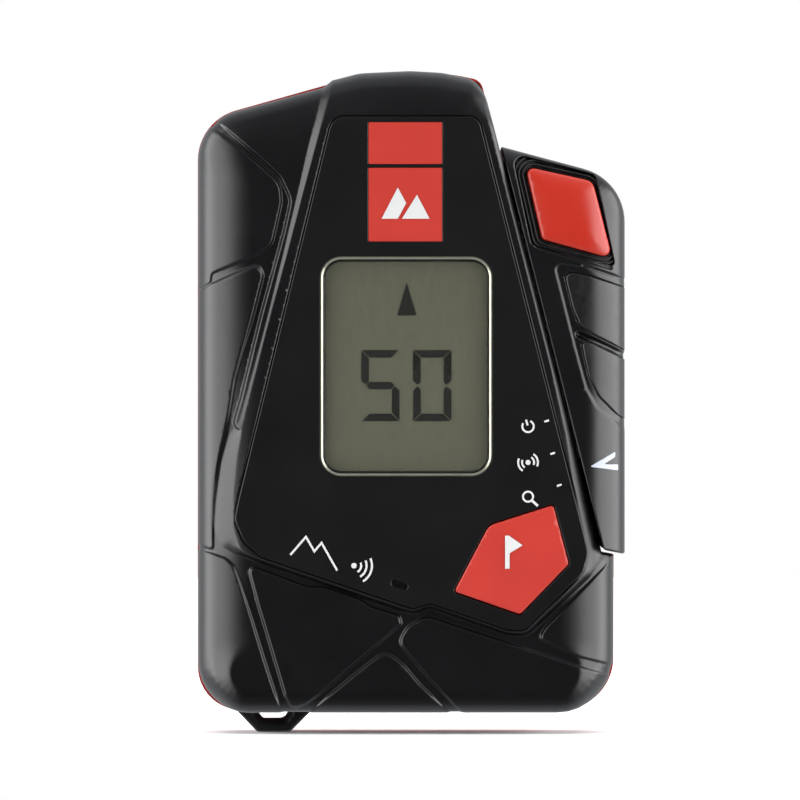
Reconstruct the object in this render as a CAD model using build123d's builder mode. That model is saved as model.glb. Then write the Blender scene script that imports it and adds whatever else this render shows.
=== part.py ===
from build123d import *
from math import cos, radians, sin
import os

# Avalanche transceiver, standing upright. Millimetres. +X is right as seen from the front, the front face
# looks along -Y and +Z is up. The origin is under the middle, at the lowest point of the lanyard loop.

os.makedirs("parts", exist_ok=True)

# ---------------------------------------------------------------- driving dimensions
BACK_Y = 13.5  # flat back face
FRONT_Y = -12.2  # low front face, round the raised middle
RAISED_Y = -13.2  # raised middle of the front and face of the facia
PARTING_Y = -1.0  # where the front half of the case ends
GASKET_T = 0.4
BACK_START_Y = PARTING_Y + GASKET_T
WALL = 2.0
FRONT_INNER_Y = -10.2
BACK_INNER_Y = BACK_Y - WALL

CASE_LEFT = -35.7
CASE_RIGHT = 33.75
CASE_BOTTOM = 3.6
CASE_TOP = 110.8
CASE_ROUND = 5.0  # rounding of the long front and back edges
LOWER_LEFT_R = 8.5
LOWER_RIGHT_R = 9.5
UPPER_R = 8.7
HUMP_R = 2.2  # corner between the top of the hump and the flank
# How far the red half stands outside the black half at its sides, along its sloping top and at the hump,
# how far it stays inside at its foot, and how much tighter its lower left corner is.
RIM = (0.2, 0.35, 0.15, 0.1, 1.2)
SHOULDER_Z = 102.3  # height where the sloping top meets the left side

TILT = 14.25  # the slide axis leans this far from vertical
TIP = (14.85, 98.35)  # upper inner corner of the slider
FLANK_GAP = 0.35  # between the case's flank and the slider
SLIDER_RIGHT = 35.7
SLIDER_HALF_DEPTH = 12.6
SLIDER_WALL = 1.6
SLIDER_ROUND = 4.0
SLIDER_CORNER = (35.7, 92.5)
SLIDER_CORNER_R = 9.3
SLIDER_FOOT = (30.8, 30.0)  # height of the foot at the inner and the outer side
TRAVEL = 5.3  # from one mode to the next

SCREW_SPOTS = [(-29.5, 13.5), (27.3, 11.5), (-8.0, 103.5), (8.3, 101.5)]
BUTTON_OUTLINE = [(19.1, 94.5), (30.1, 92.3), (33.4, 79.6), (21.9, 82.6)]
BUTTON_STEM = (26.5, 87.0)
BUTTON_STROKE = 1.2
KEY_OUTLINE = [(23.6, 38.3), (26.2, 28.5), (18.1, 20.1), (7.1, 23.9), (12.7, 34.6)]
KEY_MIDDLE = (17.1, 30.5)
KEY_GAP = 0.25
WINDOW_MIDDLE = (-0.9, 61.4)
WINDOW_SIZE = (28.6, 36.6)
WINDOW_ROUND = 3.5
BEZEL_WIDTH = 0.45
PRINT_T = 0.1  # printed marks stand this far out
PRINT_Y = RAISED_Y

BOARD_BACK_Y = -4.8
BOARD_T = 1.2
BATTERY_X = -22.0
BATTERY_Y = 3.95
BATTERY_R = 7.15
BATTERY_Z = (35.5, 85.0)
TRAY_X = (-30.5, -13.5)
TRAY_Z = (31.0, 88.0)
TRAY_Y = (-4.4, 11.2)

DOOR_X = (-31.0, -13.0)
DOOR_T = 1.6
DOOR_TOP = 98.0
DOOR_GAP = 0.2
HINGE_Y = 12.0
HINGE_Z = 29.4
HINGE_R = 1.5
PIN_R = 0.75
LOCK_SPOT = (-22.0, 93.2)
LOCK_R = 4.2


def facing(y):
    """Plane at depth y whose sketches are seen from the front; extruding goes towards the front."""
    return Plane.XZ.offset(-y)


def slide_point(u, v):
    """(x, z) of a point u down the slide axis and v out from the slider's inner edge."""
    a = radians(TILT)
    return (TIP[0] + u * sin(a) + v * cos(a), TIP[1] - u * cos(a) + v * sin(a))


def slide_plane(u):
    """Plane across the slide axis: local x goes out from the flank, extruding goes down the axis."""
    a = radians(TILT)
    x, z = slide_point(u, 0)
    return Plane(origin=(x, 0, z), x_dir=(cos(a), 0, sin(a)), z_dir=(sin(a), 0, -cos(a)))


def out_plane(u, v):
    """Plane facing out from the flank: extruding goes away from it."""
    a = radians(TILT)
    x, z = slide_point(u, v)
    return Plane(origin=(x, 0, z), x_dir=(0, 1, 0), z_dir=(cos(a), 0, sin(a)))


def finish(built, name):
    """Label one finished piece and write its file."""
    built.part.label = name
    export_step(built.part, f"parts/{name}.step")


def slab(profile, y_front, y_back, mode=Mode.ADD):
    """Extrude a profile drawn in the front view between two depths, in the part being built."""
    extrude(facing(y_back) * profile, amount=y_back - y_front, mode=mode)


def outline_of(points, corner=0.0, grow=0.0):
    """Closed outline through the points, with rounded corners, grown outwards by an amount."""
    with BuildSketch(Plane.XY) as drawn:
        with BuildLine():
            Polyline(*points, close=True)
        make_face()
        if corner:
            fillet(drawn.vertices(), radius=corner)
        if grow:
            offset(amount=grow, kind=Kind.INTERSECTION)
    return drawn.sketch


def rounded_box(middle, width, height, radius, angle=0.0):
    """Rounded rectangle in the front view."""
    with BuildSketch(Plane.XY) as drawn:
        with Locations(Location((middle[0], middle[1]), angle)):
            RectangleRounded(width, height, radius)
    return drawn.sketch


def window_box(change):
    """The display window's outline with its width and height changed by an amount."""
    width, height = WINDOW_SIZE
    return rounded_box(WINDOW_MIDDLE, width + change, height + change, WINDOW_ROUND + change / 2)


# ---------------------------------------------------------------- case outlines
def block_outline(rim=False):
    """The case's outline as if the right-hand flank had never been cut away."""
    side, top, hump, sink, tighter = RIM if rim else (0, 0, 0, 0, 0)
    hump_left = (-13.5, 108.8 + hump)
    hump_right = (14.5, 108.5 + hump)
    with BuildSketch(Plane.XY) as drawn:
        with BuildLine():
            Polyline(
                hump_left,
                (CASE_LEFT - side, SHOULDER_Z + top),
                (CASE_LEFT - side, CASE_BOTTOM + sink),
                (CASE_RIGHT + side, CASE_BOTTOM + sink),
                (CASE_RIGHT + side, 103.0),
                hump_right,
            )
            ThreePointArc(hump_right, (-0.3, CASE_TOP + hump), hump_left)
        make_face()
        fillet(drawn.vertices().group_by(Axis.Y)[0].sort_by(Axis.X)[0], radius=LOWER_LEFT_R - tighter)
        fillet(drawn.vertices().group_by(Axis.X)[-1].sort_by(Axis.Y)[0], radius=LOWER_RIGHT_R - tighter / 2)
        shoulder = drawn.vertices().filter_by_position(Axis.X, -36.5, -35).sort_by(Axis.Y)[-1]
        fillet(shoulder, radius=UPPER_R)
    return drawn.sketch


def flank_cut(gap=FLANK_GAP):
    """Area to the right of the slanted flank, above the case's lower shoulder."""
    flank_top = slide_point(-30, -gap)
    flank_foot = slide_point(70.2, -gap)
    return outline_of([flank_top, flank_foot, (45, 27.9), (45, 130)])


def hump_sliver():
    """The bit outside the rounded corner where the top of the hump meets the flank."""
    with BuildSketch(Plane.XY) as sharp:
        add(block_outline(rim=True))
        add(flank_cut(), mode=Mode.SUBTRACT)
    with BuildSketch(Plane.XY) as soft:
        add(sharp.sketch)
        corner = soft.vertices().filter_by_position(Axis.X, 10.5, 13.5).sort_by(Axis.Y)[-1]
        fillet(corner, radius=HUMP_R)
    return sharp.sketch - soft.sketch


def case_outline(rim=False):
    """The case's outline with the flank cut away."""
    with BuildSketch(Plane.XY) as drawn:
        add(block_outline(rim))
        add(flank_cut(), mode=Mode.SUBTRACT)
        add(SLIVER, mode=Mode.SUBTRACT)
    return drawn.sketch


def inner_outline(wall=WALL):
    """The case's outline less its wall."""
    with BuildSketch(Plane.XY) as drawn:
        add(block_outline())
        add(flank_cut(), mode=Mode.SUBTRACT)
        offset(amount=-wall, kind=Kind.INTERSECTION)
    return drawn.sketch


SLIVER = hump_sliver()
CASE = case_outline()
CASE_BACK = case_outline(rim=True)
CASE_INNER = inner_outline()
FLANK = flank_cut()

PANEL_POINTS = [
    (-13.15, 102.95),
    (-29.4, 37.0),
    (-29.1, 33.2),
    (-25.2, 29.75),
    (0.3, 21.1),
    (3.0, 22.05),
    (16.0, 17.6),
    (18.8, 17.5),
    (28.5, 27.1),
    (29.4, 30.3),
    (11.1, 102.95),
]
PANEL_TOP_R = 2.4
PANEL_R = 1.2
PANEL_T = 0.6


def panel_outline(grow=0.0):
    """The facia's outline."""
    with BuildSketch(Plane.XY) as drawn:
        with BuildLine():
            Polyline(*PANEL_POINTS, close=True)
        make_face()
        fillet(drawn.vertices().group_by(Axis.Y)[-1], radius=PANEL_TOP_R)
        fillet(drawn.vertices().filter_by_position(Axis.Y, 10, 40), radius=PANEL_R)
        if grow:
            offset(amount=grow, kind=Kind.ARC)
    return drawn.sketch


PLATEAU_POINTS = [
    (-12.6, 107.6),
    (-18.6, 89.1),
    (-25.4, 62.5),
    (-31.0, 41.0),
    (-31.2, 29.9),
    (-1.2, 19.3),
    (3.4, 20.2),
    (15.8, 15.6),
    (18.8, 15.6),
    (30.7, 26.4),
    slide_point(68.0, -FLANK_GAP),
    slide_point(-9.6, -FLANK_GAP),
    (8.0, 109.0),
    (-0.3, 109.8),
    (-8.0, 109.0),
]

PANEL = panel_outline()
WINDOW_OPENING = window_box(0.2)
LEDGE_OPENING = window_box(-1.5)
KEY_OPENING = outline_of(KEY_OUTLINE, 0.6, KEY_GAP)
SLOT_SPOT = (-2.0, 25.0)
SLOT_TILT = -20.0
SLOT_OPENING = rounded_box(SLOT_SPOT, 2.85, 1.2, 0.5, SLOT_TILT)
PLATE_X = -1.05
PLATE_WIDTH = 12.3
PLATES = [("label_plate_upper", 95.1, 102.1), ("label_plate_lower", 82.2, 94.5)]
PLATE_Y = -12.95

# Paths of the moulded grooves between the raised pads of the front, as (x, z) corners.
GROOVES = [
    [(-33.0, 102.4), (-21.8, 92.6), (-21.0, 88.8), (-23.6, 80.2), (-34.6, 75.2)],
    [(-23.6, 80.2), (-29.5, 56.5), (-31.8, 44.0), (-32.6, 36.0), (-31.8, 30.2)],
    [(-34.6, 31.2), (-29.4, 27.8), (-21.8, 3.0)],
    [(-29.4, 27.8), (-2.2, 18.8), (-1.4, 16.0), (-15.8, 3.0)],
    [(-9.6, 10.4), (-4.6, 14.2), (7.0, 3.0)],
    [(-1.4, 16.0), (2.0, 19.1), (5.0, 18.9), (27.4, 12.3), (35.0, 10.2)],
    [(19.4, 14.8), (22.0, 17.0), (31.9, 27.6)],
]
GROOVE_WIDTH = 1.1
GROOVE_DEPTH = 0.8


# ---------------------------------------------------------------- front half of the case
def in_slide_notch(y_low, y_high):
    """Box beside the lower shoulder that the slider's front or back wall passes through."""
    with BuildSketch(slide_plane(67), mode=Mode.PRIVATE) as notch:
        with Locations((3.0 - FLANK_GAP, -(y_low + y_high) / 2)):
            Rectangle(6.0, y_high - y_low)
    extrude(notch.sketch, amount=10.2, mode=Mode.SUBTRACT)


with BuildPart() as front_shell:
    with BuildSketch(facing(PARTING_Y)):
        add(block_outline())
    extrude(amount=PARTING_Y - FRONT_Y)
    fillet(front_shell.faces().sort_by(Axis.Y)[0].edges(), radius=CASE_ROUND)
    slab(FLANK, FRONT_Y - 1, PARTING_Y + 1, Mode.SUBTRACT)
    slab(SLIVER, FRONT_Y - 1, PARTING_Y + 1, Mode.SUBTRACT)
    slab(outline_of(PLATEAU_POINTS, 0.8), RAISED_Y, FRONT_Y + 3.0)
    for path in GROOVES:
        with BuildSketch(facing(FRONT_Y + GROOVE_DEPTH)):
            with BuildLine():
                FilletPolyline(*path, radius=0.9)
            trace(line_width=GROOVE_WIDTH)
            add(outline_of(PLATEAU_POINTS, 0.8), mode=Mode.SUBTRACT)
        extrude(amount=GROOVE_DEPTH + 0.5, mode=Mode.SUBTRACT)
    slab(CASE_INNER, FRONT_INNER_Y, PARTING_Y + 1, Mode.SUBTRACT)
    slab(panel_outline(0.12), RAISED_Y - 1, RAISED_Y + PANEL_T, Mode.SUBTRACT)
    slab(WINDOW_OPENING, RAISED_Y - 1, -11.9, Mode.SUBTRACT)
    slab(LEDGE_OPENING, RAISED_Y - 1, FRONT_INNER_Y + 1, Mode.SUBTRACT)
    slab(KEY_OPENING, RAISED_Y - 1, FRONT_INNER_Y + 1, Mode.SUBTRACT)
    slab(SLOT_OPENING, RAISED_Y - 1, FRONT_INNER_Y + 1, Mode.SUBTRACT)
    with BuildSketch(facing(PARTING_Y)):
        with Locations(*SCREW_SPOTS):
            Circle(2.6)
    extrude(amount=PARTING_Y - FRONT_INNER_Y + 0.5)
    with BuildSketch(facing(PARTING_Y)):
        with Locations(*SCREW_SPOTS):
            Circle(1.7)
    extrude(amount=5.2, mode=Mode.SUBTRACT)
    with BuildSketch(facing(PARTING_Y - 5.2)):
        with Locations(*SCREW_SPOTS):
            Circle(1.0)
    extrude(amount=1.5, mode=Mode.SUBTRACT)
    in_slide_notch(-14.0, -10.6)
finish(front_shell, "front_shell")

with BuildPart() as screw_inserts:
    with BuildSketch(facing(PARTING_Y - 0.2)):
        with Locations(*SCREW_SPOTS):
            Circle(1.7)
            Circle(1.0, mode=Mode.SUBTRACT)
    extrude(amount=4.8)
finish(screw_inserts, "screw_inserts")

with BuildPart() as case_gasket:
    with BuildSketch(facing(BACK_START_Y)):
        add(CASE)
        offset(amount=-0.3, kind=Kind.INTERSECTION)
        with BuildSketch(mode=Mode.SUBTRACT):
            add(CASE)
            offset(amount=-1.7, kind=Kind.INTERSECTION)
    extrude(amount=GASKET_T)
finish(case_gasket, "case_gasket")

# ---------------------------------------------------------------- back half of the case
DOOR_OPENING = rounded_box(
    (sum(DOOR_X) / 2, (DOOR_TOP + HINGE_Z - HINGE_R - 0.4) / 2),
    DOOR_X[1] - DOOR_X[0] + 2 * DOOR_GAP,
    DOOR_TOP + DOOR_GAP - (HINGE_Z - HINGE_R - 0.6),
    1.2,
)
PIN_X = (DOOR_X[0] - 1.8, DOOR_X[1] + 1.8)

with BuildPart() as back_shell:
    with BuildSketch(facing(BACK_Y)):
        add(block_outline(rim=True))
    extrude(amount=BACK_Y - BACK_START_Y)
    fillet(back_shell.faces().sort_by(Axis.Y)[-1].edges(), radius=CASE_ROUND)
    slab(FLANK, BACK_START_Y - 1, BACK_Y + 1, Mode.SUBTRACT)
    slab(SLIVER, BACK_START_Y - 1, BACK_Y + 1, Mode.SUBTRACT)
    slab(CASE_INNER, BACK_START_Y - 1, BACK_INNER_Y, Mode.SUBTRACT)
    slab(DOOR_OPENING, BACK_INNER_Y - 1, BACK_Y + 1, Mode.SUBTRACT)
    for x in (PIN_X[0] + 0.8, PIN_X[1] - 0.8):
        with BuildSketch(facing(BACK_Y - 1)):
            with Locations((x, HINGE_Z)):
                Rectangle(1.6, 3.6)
        extrude(amount=2.1)
    with BuildSketch(Plane.YZ.offset(PIN_X[0])):
        with Locations((HINGE_Y, HINGE_Z)):
            Circle(PIN_R + 0.01)
    extrude(amount=PIN_X[1] - PIN_X[0], mode=Mode.SUBTRACT)
    with BuildSketch(facing(BACK_INNER_Y + 0.5)):
        with Locations(*SCREW_SPOTS):
            Circle(2.8)
    extrude(amount=BACK_INNER_Y + 0.5 - BACK_START_Y)
    with BuildSketch(facing(BACK_Y + 1)):
        with Locations(*SCREW_SPOTS):
            Circle(1.1)
    extrude(amount=BACK_Y + 2 - BACK_START_Y, mode=Mode.SUBTRACT)
    with BuildSketch(facing(BACK_Y + 1)):
        with Locations(*SCREW_SPOTS):
            Circle(2.1)
    extrude(amount=BACK_Y + 1 - 9.5, mode=Mode.SUBTRACT)
    in_slide_notch(10.6, 14.0)
finish(back_shell, "back_shell")

with BuildPart() as case_screws:
    with BuildSketch(facing(9.5)):
        with Locations(*SCREW_SPOTS):
            Circle(0.9)
    extrude(amount=15.0)
    with BuildSketch(facing(11.0)):
        with Locations(*SCREW_SPOTS):
            Circle(1.9)
    extrude(amount=1.5)
    with BuildSketch(facing(11.0)):
        with Locations(*SCREW_SPOTS):
            RegularPolygon(0.95, 6)
    extrude(amount=0.9, mode=Mode.SUBTRACT)
finish(case_screws, "case_screws")

with BuildPart() as lanyard_loop:
    with BuildSketch(facing(3.4)):
        with BuildLine():
            Polyline((-30.7, 5.0), (-25.9, 0), (-20.4, 0), (-16.6, 3.8), (-16.6, 5.0), close=True)
        make_face()
        with BuildLine():
            Polyline((-26.1, 3.8), (-25.1, 2.3), (-21.4, 2.3), (-20.6, 3.8), close=True)
        make_face(mode=Mode.SUBTRACT)
        with BuildSketch(mode=Mode.SUBTRACT):
            add(CASE_BACK)
    extrude(amount=4.0)
    fillet(lanyard_loop.edges().filter_by(Axis.Y).group_by(Axis.Z)[0], radius=0.4)
finish(lanyard_loop, "lanyard_loop")

# ---------------------------------------------------------------- facia, plates and print
with BuildPart() as front_panel:
    slab(PANEL, RAISED_Y, RAISED_Y + PANEL_T)
    slab(WINDOW_OPENING, RAISED_Y - 1, RAISED_Y + 1, Mode.SUBTRACT)
    slab(KEY_OPENING, RAISED_Y - 1, RAISED_Y + 1, Mode.SUBTRACT)
    slab(SLOT_OPENING, RAISED_Y - 1, RAISED_Y + 1, Mode.SUBTRACT)
    for name, low, high in PLATES:
        pocket = rounded_box((PLATE_X, (low + high) / 2), PLATE_WIDTH, high - low, 0.2)
        slab(pocket, RAISED_Y - 1, PLATE_Y, Mode.SUBTRACT)
finish(front_panel, "front_panel")

for name, low, high in PLATES:
    with BuildPart() as label_plate:
        plate = rounded_box((PLATE_X, (low + high) / 2), PLATE_WIDTH - 0.06, high - low - 0.06, 0.2)
        slab(plate, RAISED_Y, PLATE_Y)
    finish(label_plate, name)

# Two peaks: a plain mountain sign.
with BuildPart() as plate_emblem:
    emblem_z = 86.0
    slab(outline_of([(-5.0, emblem_z), (-2.3, emblem_z + 5.2), (-0.9, emblem_z + 2.6), (-2.3, emblem_z)]),
         PRINT_Y - PRINT_T, PRINT_Y)
    slab(outline_of([(-1.6, emblem_z), (0.9, emblem_z + 4.0), (3.0, emblem_z)]), PRINT_Y - PRINT_T, PRINT_Y)
finish(plate_emblem, "plate_emblem")


def wave_arcs(middle, radii, width, spread, heading):
    """Concentric arcs about a point, as printed wave signs."""
    with BuildSketch(Plane.XY) as drawn:
        for radius in radii:
            with BuildLine():
                CenterArc(middle, radius, heading - spread / 2, spread)
            trace(line_width=width)
    return drawn.sketch


MARK_TILT = 17.0
MARK_SPOTS = [(19.4, 51.4), (19.4, 45.4), (19.4, 39.7)]
DASH_SPOTS = [(22.5, 52.3), (23.5, 46.9), (24.6, 41.6)]
LINE_W = 0.32

with BuildPart() as panel_marks:
    with BuildSketch(facing(PRINT_Y)):
        for spot in DASH_SPOTS:
            with Locations(Location(spot, MARK_TILT)):
                Rectangle(0.8, LINE_W)
        # Off: an open ring with a bar.
        with BuildLine():
            CenterArc(MARK_SPOTS[0], 0.95, 90 + MARK_TILT + 40, 280)
        trace(line_width=LINE_W)
        with Locations(Location((MARK_SPOTS[0][0] - 0.2, MARK_SPOTS[0][1] + 0.65), MARK_TILT)):
            Rectangle(LINE_W, 0.95)
        # Send: a dot with waves leaving it.
        with Locations(MARK_SPOTS[1]):
            Circle(0.42)
        add(wave_arcs(MARK_SPOTS[1], (1.0, 1.65), LINE_W, 80, MARK_TILT))
        add(wave_arcs(MARK_SPOTS[1], (1.0, 1.65), LINE_W, 80, MARK_TILT + 180))
        # Search: a ring with a handle.
        with Locations(MARK_SPOTS[2]):
            Circle(1.0)
            Circle(1.0 - LINE_W, mode=Mode.SUBTRACT)
        with Locations(Location((MARK_SPOTS[2][0] + 1.15, MARK_SPOTS[2][1] - 1.1), -42)):
            Rectangle(1.3, LINE_W + 0.1)
        # A ridge line with waves over it, low on the facia.
        with BuildLine():
            Polyline((-20.2, 30.0), (-17.6, 33.0), (-16.2, 30.6), (-15.0, 32.0), (-12.4, 27.4))
        trace(line_width=0.34)
        with Locations((-9.6, 28.2)):
            Circle(0.45)
        add(wave_arcs((-9.6, 28.2), (1.2, 2.1, 3.0), 0.34, 84, -18))
    extrude(amount=PRINT_T)
finish(panel_marks, "panel_marks")

with BuildPart() as led_window:
    slab(rounded_box(SLOT_SPOT, 2.75, 1.1, 0.48, SLOT_TILT), RAISED_Y + 0.05, FRONT_INNER_Y - 0.2)
finish(led_window, "led_window")

# ---------------------------------------------------------------- display
with BuildPart() as display_bezel:
    slab(window_box(0), RAISED_Y - 0.1, -11.9)
    slab(window_box(-2 * BEZEL_WIDTH), RAISED_Y - 1, -11, Mode.SUBTRACT)
    chamfer(display_bezel.faces().sort_by(Axis.Y)[0].inner_wires()[0].edges(), length=0.3)
finish(display_bezel, "display_bezel")

with BuildPart() as display_lens:
    slab(window_box(-1.0), -12.8, -11.9)
finish(display_lens, "display_lens")

DIGIT_SIZE = (6.35, 11.85)
SEGMENT = 1.25
DIGIT_MIDDLES = [-5.2, 3.44]
DIGIT_Z = 58.2
SEGMENT_GAP = 0.13
LIT = ["afgcd", "abcdef"]  # which bars of the two digits are dark: 5 and 0
UPRIGHTS = {"f": (1, 1), "b": (-1, 1), "e": (1, -1), "c": (-1, -1)}


def bar_outline(name, x, z):
    """One bar of a seven-bar digit, mitred where it meets its neighbours."""
    right, top = DIGIT_SIZE[0] / 2, DIGIT_SIZE[1] / 2
    s, gap = SEGMENT, SEGMENT_GAP
    if name == "g":
        tip, reach = right - 0.65 * s, right - 1.15 * s
        spots = [(-tip, 0), (-reach, s / 2), (reach, s / 2), (tip, 0), (reach, -s / 2), (-reach, -s / 2)]
        return [(x + dx, z + dz) for dx, dz in spots]
    if name in "ad":
        way = 1 if name == "a" else -1
        outer, inner = right - gap, right - s - gap
        spots = [(-outer, top), (outer, top), (inner, top - s), (-inner, top - s)]
        return [(x + dx, z + way * dz) for dx, dz in spots]
    side, way = UPRIGHTS[name]
    spots = [
        (-right, top - gap),
        (-right + s, top - s - gap),
        (-right + s, gap + 0.4 * s),
        (-right + 0.6 * s, gap),
        (-right, gap + 0.55 * s),
    ]
    return [(x + side * dx, z + way * dz) for dx, dz in spots]


with BuildPart() as display_digits:
    for x, lit in zip(DIGIT_MIDDLES, LIT):
        for bar in lit:
            slab(outline_of(bar_outline(bar, x, DIGIT_Z)), -11.9, -11.8)
    slab(outline_of([(-0.8, 75.4), (0.8, 69.9), (-2.4, 69.9)]), -11.9, -11.8)
finish(display_digits, "display_digits")

with BuildPart() as display_module:
    slab(window_box(-1.7), -11.8, -9.7)
finish(display_module, "display_module")

with BuildPart() as display_holder:
    slab(rounded_box(WINDOW_MIDDLE, 33, 41, 2), FRONT_INNER_Y, -8.2)
    slab(window_box(-1.5), FRONT_INNER_Y - 1, -9.7, Mode.SUBTRACT)
    slab(rounded_box(WINDOW_MIDDLE, 23.5, 31.5, 1.5), FRONT_INNER_Y - 1, -8, Mode.SUBTRACT)
finish(display_holder, "display_holder")

with BuildPart() as zebra_connectors:
    for z in (WINDOW_MIDDLE[1] - 14.3, WINDOW_MIDDLE[1] + 14.3):
        slab(rounded_box((WINDOW_MIDDLE[0], z), 21.0, 2.0, 0.3), -9.7, BOARD_BACK_Y - BOARD_T)
finish(zebra_connectors, "zebra_connectors")

# ---------------------------------------------------------------- board and its parts
BOARD_POINTS = [(-31, 24), (-31, 92), (-24.5, 97), (11.3, 97), (28.0, 31.5), (28.0, 18.5), (-27, 18.5)]

with BuildPart() as main_board:
    slab(outline_of(BOARD_POINTS, 1.0), BOARD_BACK_Y - BOARD_T, BOARD_BACK_Y)
finish(main_board, "main_board")

with BuildPart() as status_led:
    board_front_y = BOARD_BACK_Y - BOARD_T
    slab(rounded_box(SLOT_SPOT, 1.6, 0.9, 0.2, SLOT_TILT), board_front_y - 1.0, board_front_y)
finish(status_led, "status_led")

with BuildPart() as key_switch:
    slab(rounded_box(KEY_MIDDLE, 6, 6, 0.4), -8.0, BOARD_BACK_Y - BOARD_T)
    with BuildSketch(facing(-8.0)):
        with Locations(KEY_MIDDLE):
            Circle(1.6)
    extrude(amount=0.8)
finish(key_switch, "key_switch")

SHIELD_MIDDLE = (11.0, 54.5)
with BuildPart() as shield_can:
    slab(rounded_box(SHIELD_MIDDLE, 16, 17, 0.8), BOARD_BACK_Y, BOARD_BACK_Y + 3.0)
    slab(rounded_box(SHIELD_MIDDLE, 15.4, 16.4, 0.5), BOARD_BACK_Y - 1, BOARD_BACK_Y + 2.7, Mode.SUBTRACT)
finish(shield_can, "shield_can")

with BuildPart() as circuit_chips:
    for spot, size in (((9.0, 57.5), 7.0), ((14.5, 50.0), 5.0), ((-9.0, 93.0), 5.0)):
        slab(rounded_box(spot, size, size, 0.2), BOARD_BACK_Y, BOARD_BACK_Y + 1.0)
finish(circuit_chips, "circuit_chips")

with BuildPart() as buzzer:
    with BuildSketch(facing(-0.8)):
        with Locations((14.5, 35.5)):
            Circle(6.5)
    extrude(amount=-0.8 - BOARD_BACK_Y)
    with BuildSketch(facing(-0.8)):
        with Locations((14.5, 35.5)):
            Circle(1.2)
    extrude(amount=1.5, mode=Mode.SUBTRACT)
finish(buzzer, "buzzer")

# ---------------------------------------------------------------- three antennas
LONG_CORE = (-7.0, 3.5)
LONG_CORE_Z = (28.0, 90.0)
CROSS_CORE_Z = 22.0
CROSS_CORE_Y = 4.0
CROSS_CORE_X = (-27.0, 20.0)

with BuildPart() as antenna_core_long:
    with BuildSketch(Plane.XY.offset(LONG_CORE_Z[0])):
        with Locations(LONG_CORE):
            Circle(3.5)
    extrude(amount=LONG_CORE_Z[1] - LONG_CORE_Z[0])
finish(antenna_core_long, "antenna_core_long")

with BuildPart() as antenna_coil_long:
    with BuildSketch(Plane.XY.offset(42.0)):
        with Locations(LONG_CORE):
            Circle(4.4)
            Circle(3.52, mode=Mode.SUBTRACT)
    extrude(amount=30.0)
finish(antenna_coil_long, "antenna_coil_long")

with BuildPart() as antenna_core_cross:
    with BuildSketch(Plane.YZ.offset(CROSS_CORE_X[0])):
        with Locations((CROSS_CORE_Y, CROSS_CORE_Z)):
            Circle(3.0)
    extrude(amount=CROSS_CORE_X[1] - CROSS_CORE_X[0])
finish(antenna_core_cross, "antenna_core_cross")

with BuildPart() as antenna_coil_cross:
    with BuildSketch(Plane.YZ.offset(-16.0)):
        with Locations((CROSS_CORE_Y, CROSS_CORE_Z)):
            Circle(3.9)
            Circle(3.02, mode=Mode.SUBTRACT)
    extrude(amount=25.0)
finish(antenna_coil_cross, "antenna_coil_cross")

with BuildPart() as antenna_coil_flat:
    with BuildSketch(facing(BOARD_BACK_Y + 3.0)):
        with Locations((6.8, 81.0)):
            Circle(8.5)
            Circle(6.0, mode=Mode.SUBTRACT)
    extrude(amount=3.0)
finish(antenna_coil_flat, "antenna_coil_flat")

# ---------------------------------------------------------------- battery bay
with BuildPart() as battery_tray:
    tray_middle = (sum(TRAY_X) / 2, sum(TRAY_Z) / 2)
    slab(rounded_box(tray_middle, TRAY_X[1] - TRAY_X[0], TRAY_Z[1] - TRAY_Z[0], 1.5), *TRAY_Y)
    slab(rounded_box(tray_middle, 15.0, 55.0, 0.8), TRAY_Y[0] + 1.0, TRAY_Y[1] + 1, Mode.SUBTRACT)
finish(battery_tray, "battery_tray")

with BuildPart() as battery:
    with BuildSketch(Plane.XY.offset(BATTERY_Z[0])):
        with Locations((BATTERY_X, BATTERY_Y)):
            Circle(BATTERY_R)
    extrude(amount=BATTERY_Z[1] - BATTERY_Z[0])
    fillet(battery.edges().filter_by(GeomType.CIRCLE), radius=0.6)
    with BuildSketch(Plane.XY.offset(BATTERY_Z[1])):
        with Locations((BATTERY_X, BATTERY_Y)):
            Circle(2.7)
    extrude(amount=1.0)
finish(battery, "battery")

with BuildPart() as battery_plate:
    with BuildSketch(Plane.XY.offset(BATTERY_Z[1] + 1.0)):
        with Locations((BATTERY_X, BATTERY_Y)):
            RectangleRounded(10, 10, 1)
    extrude(amount=0.4)
finish(battery_plate, "battery_plate")

with BuildPart() as battery_spring:
    with BuildLine():
        coil_path = Helix(pitch=1.15, height=2.9, radius=3.6, center=(BATTERY_X, BATTERY_Y, TRAY_Z[0] + 1.3))
    with BuildSketch(Plane(origin=coil_path @ 0, z_dir=coil_path % 0)):
        Circle(0.28)
    sweep()
finish(battery_spring, "battery_spring")

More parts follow.
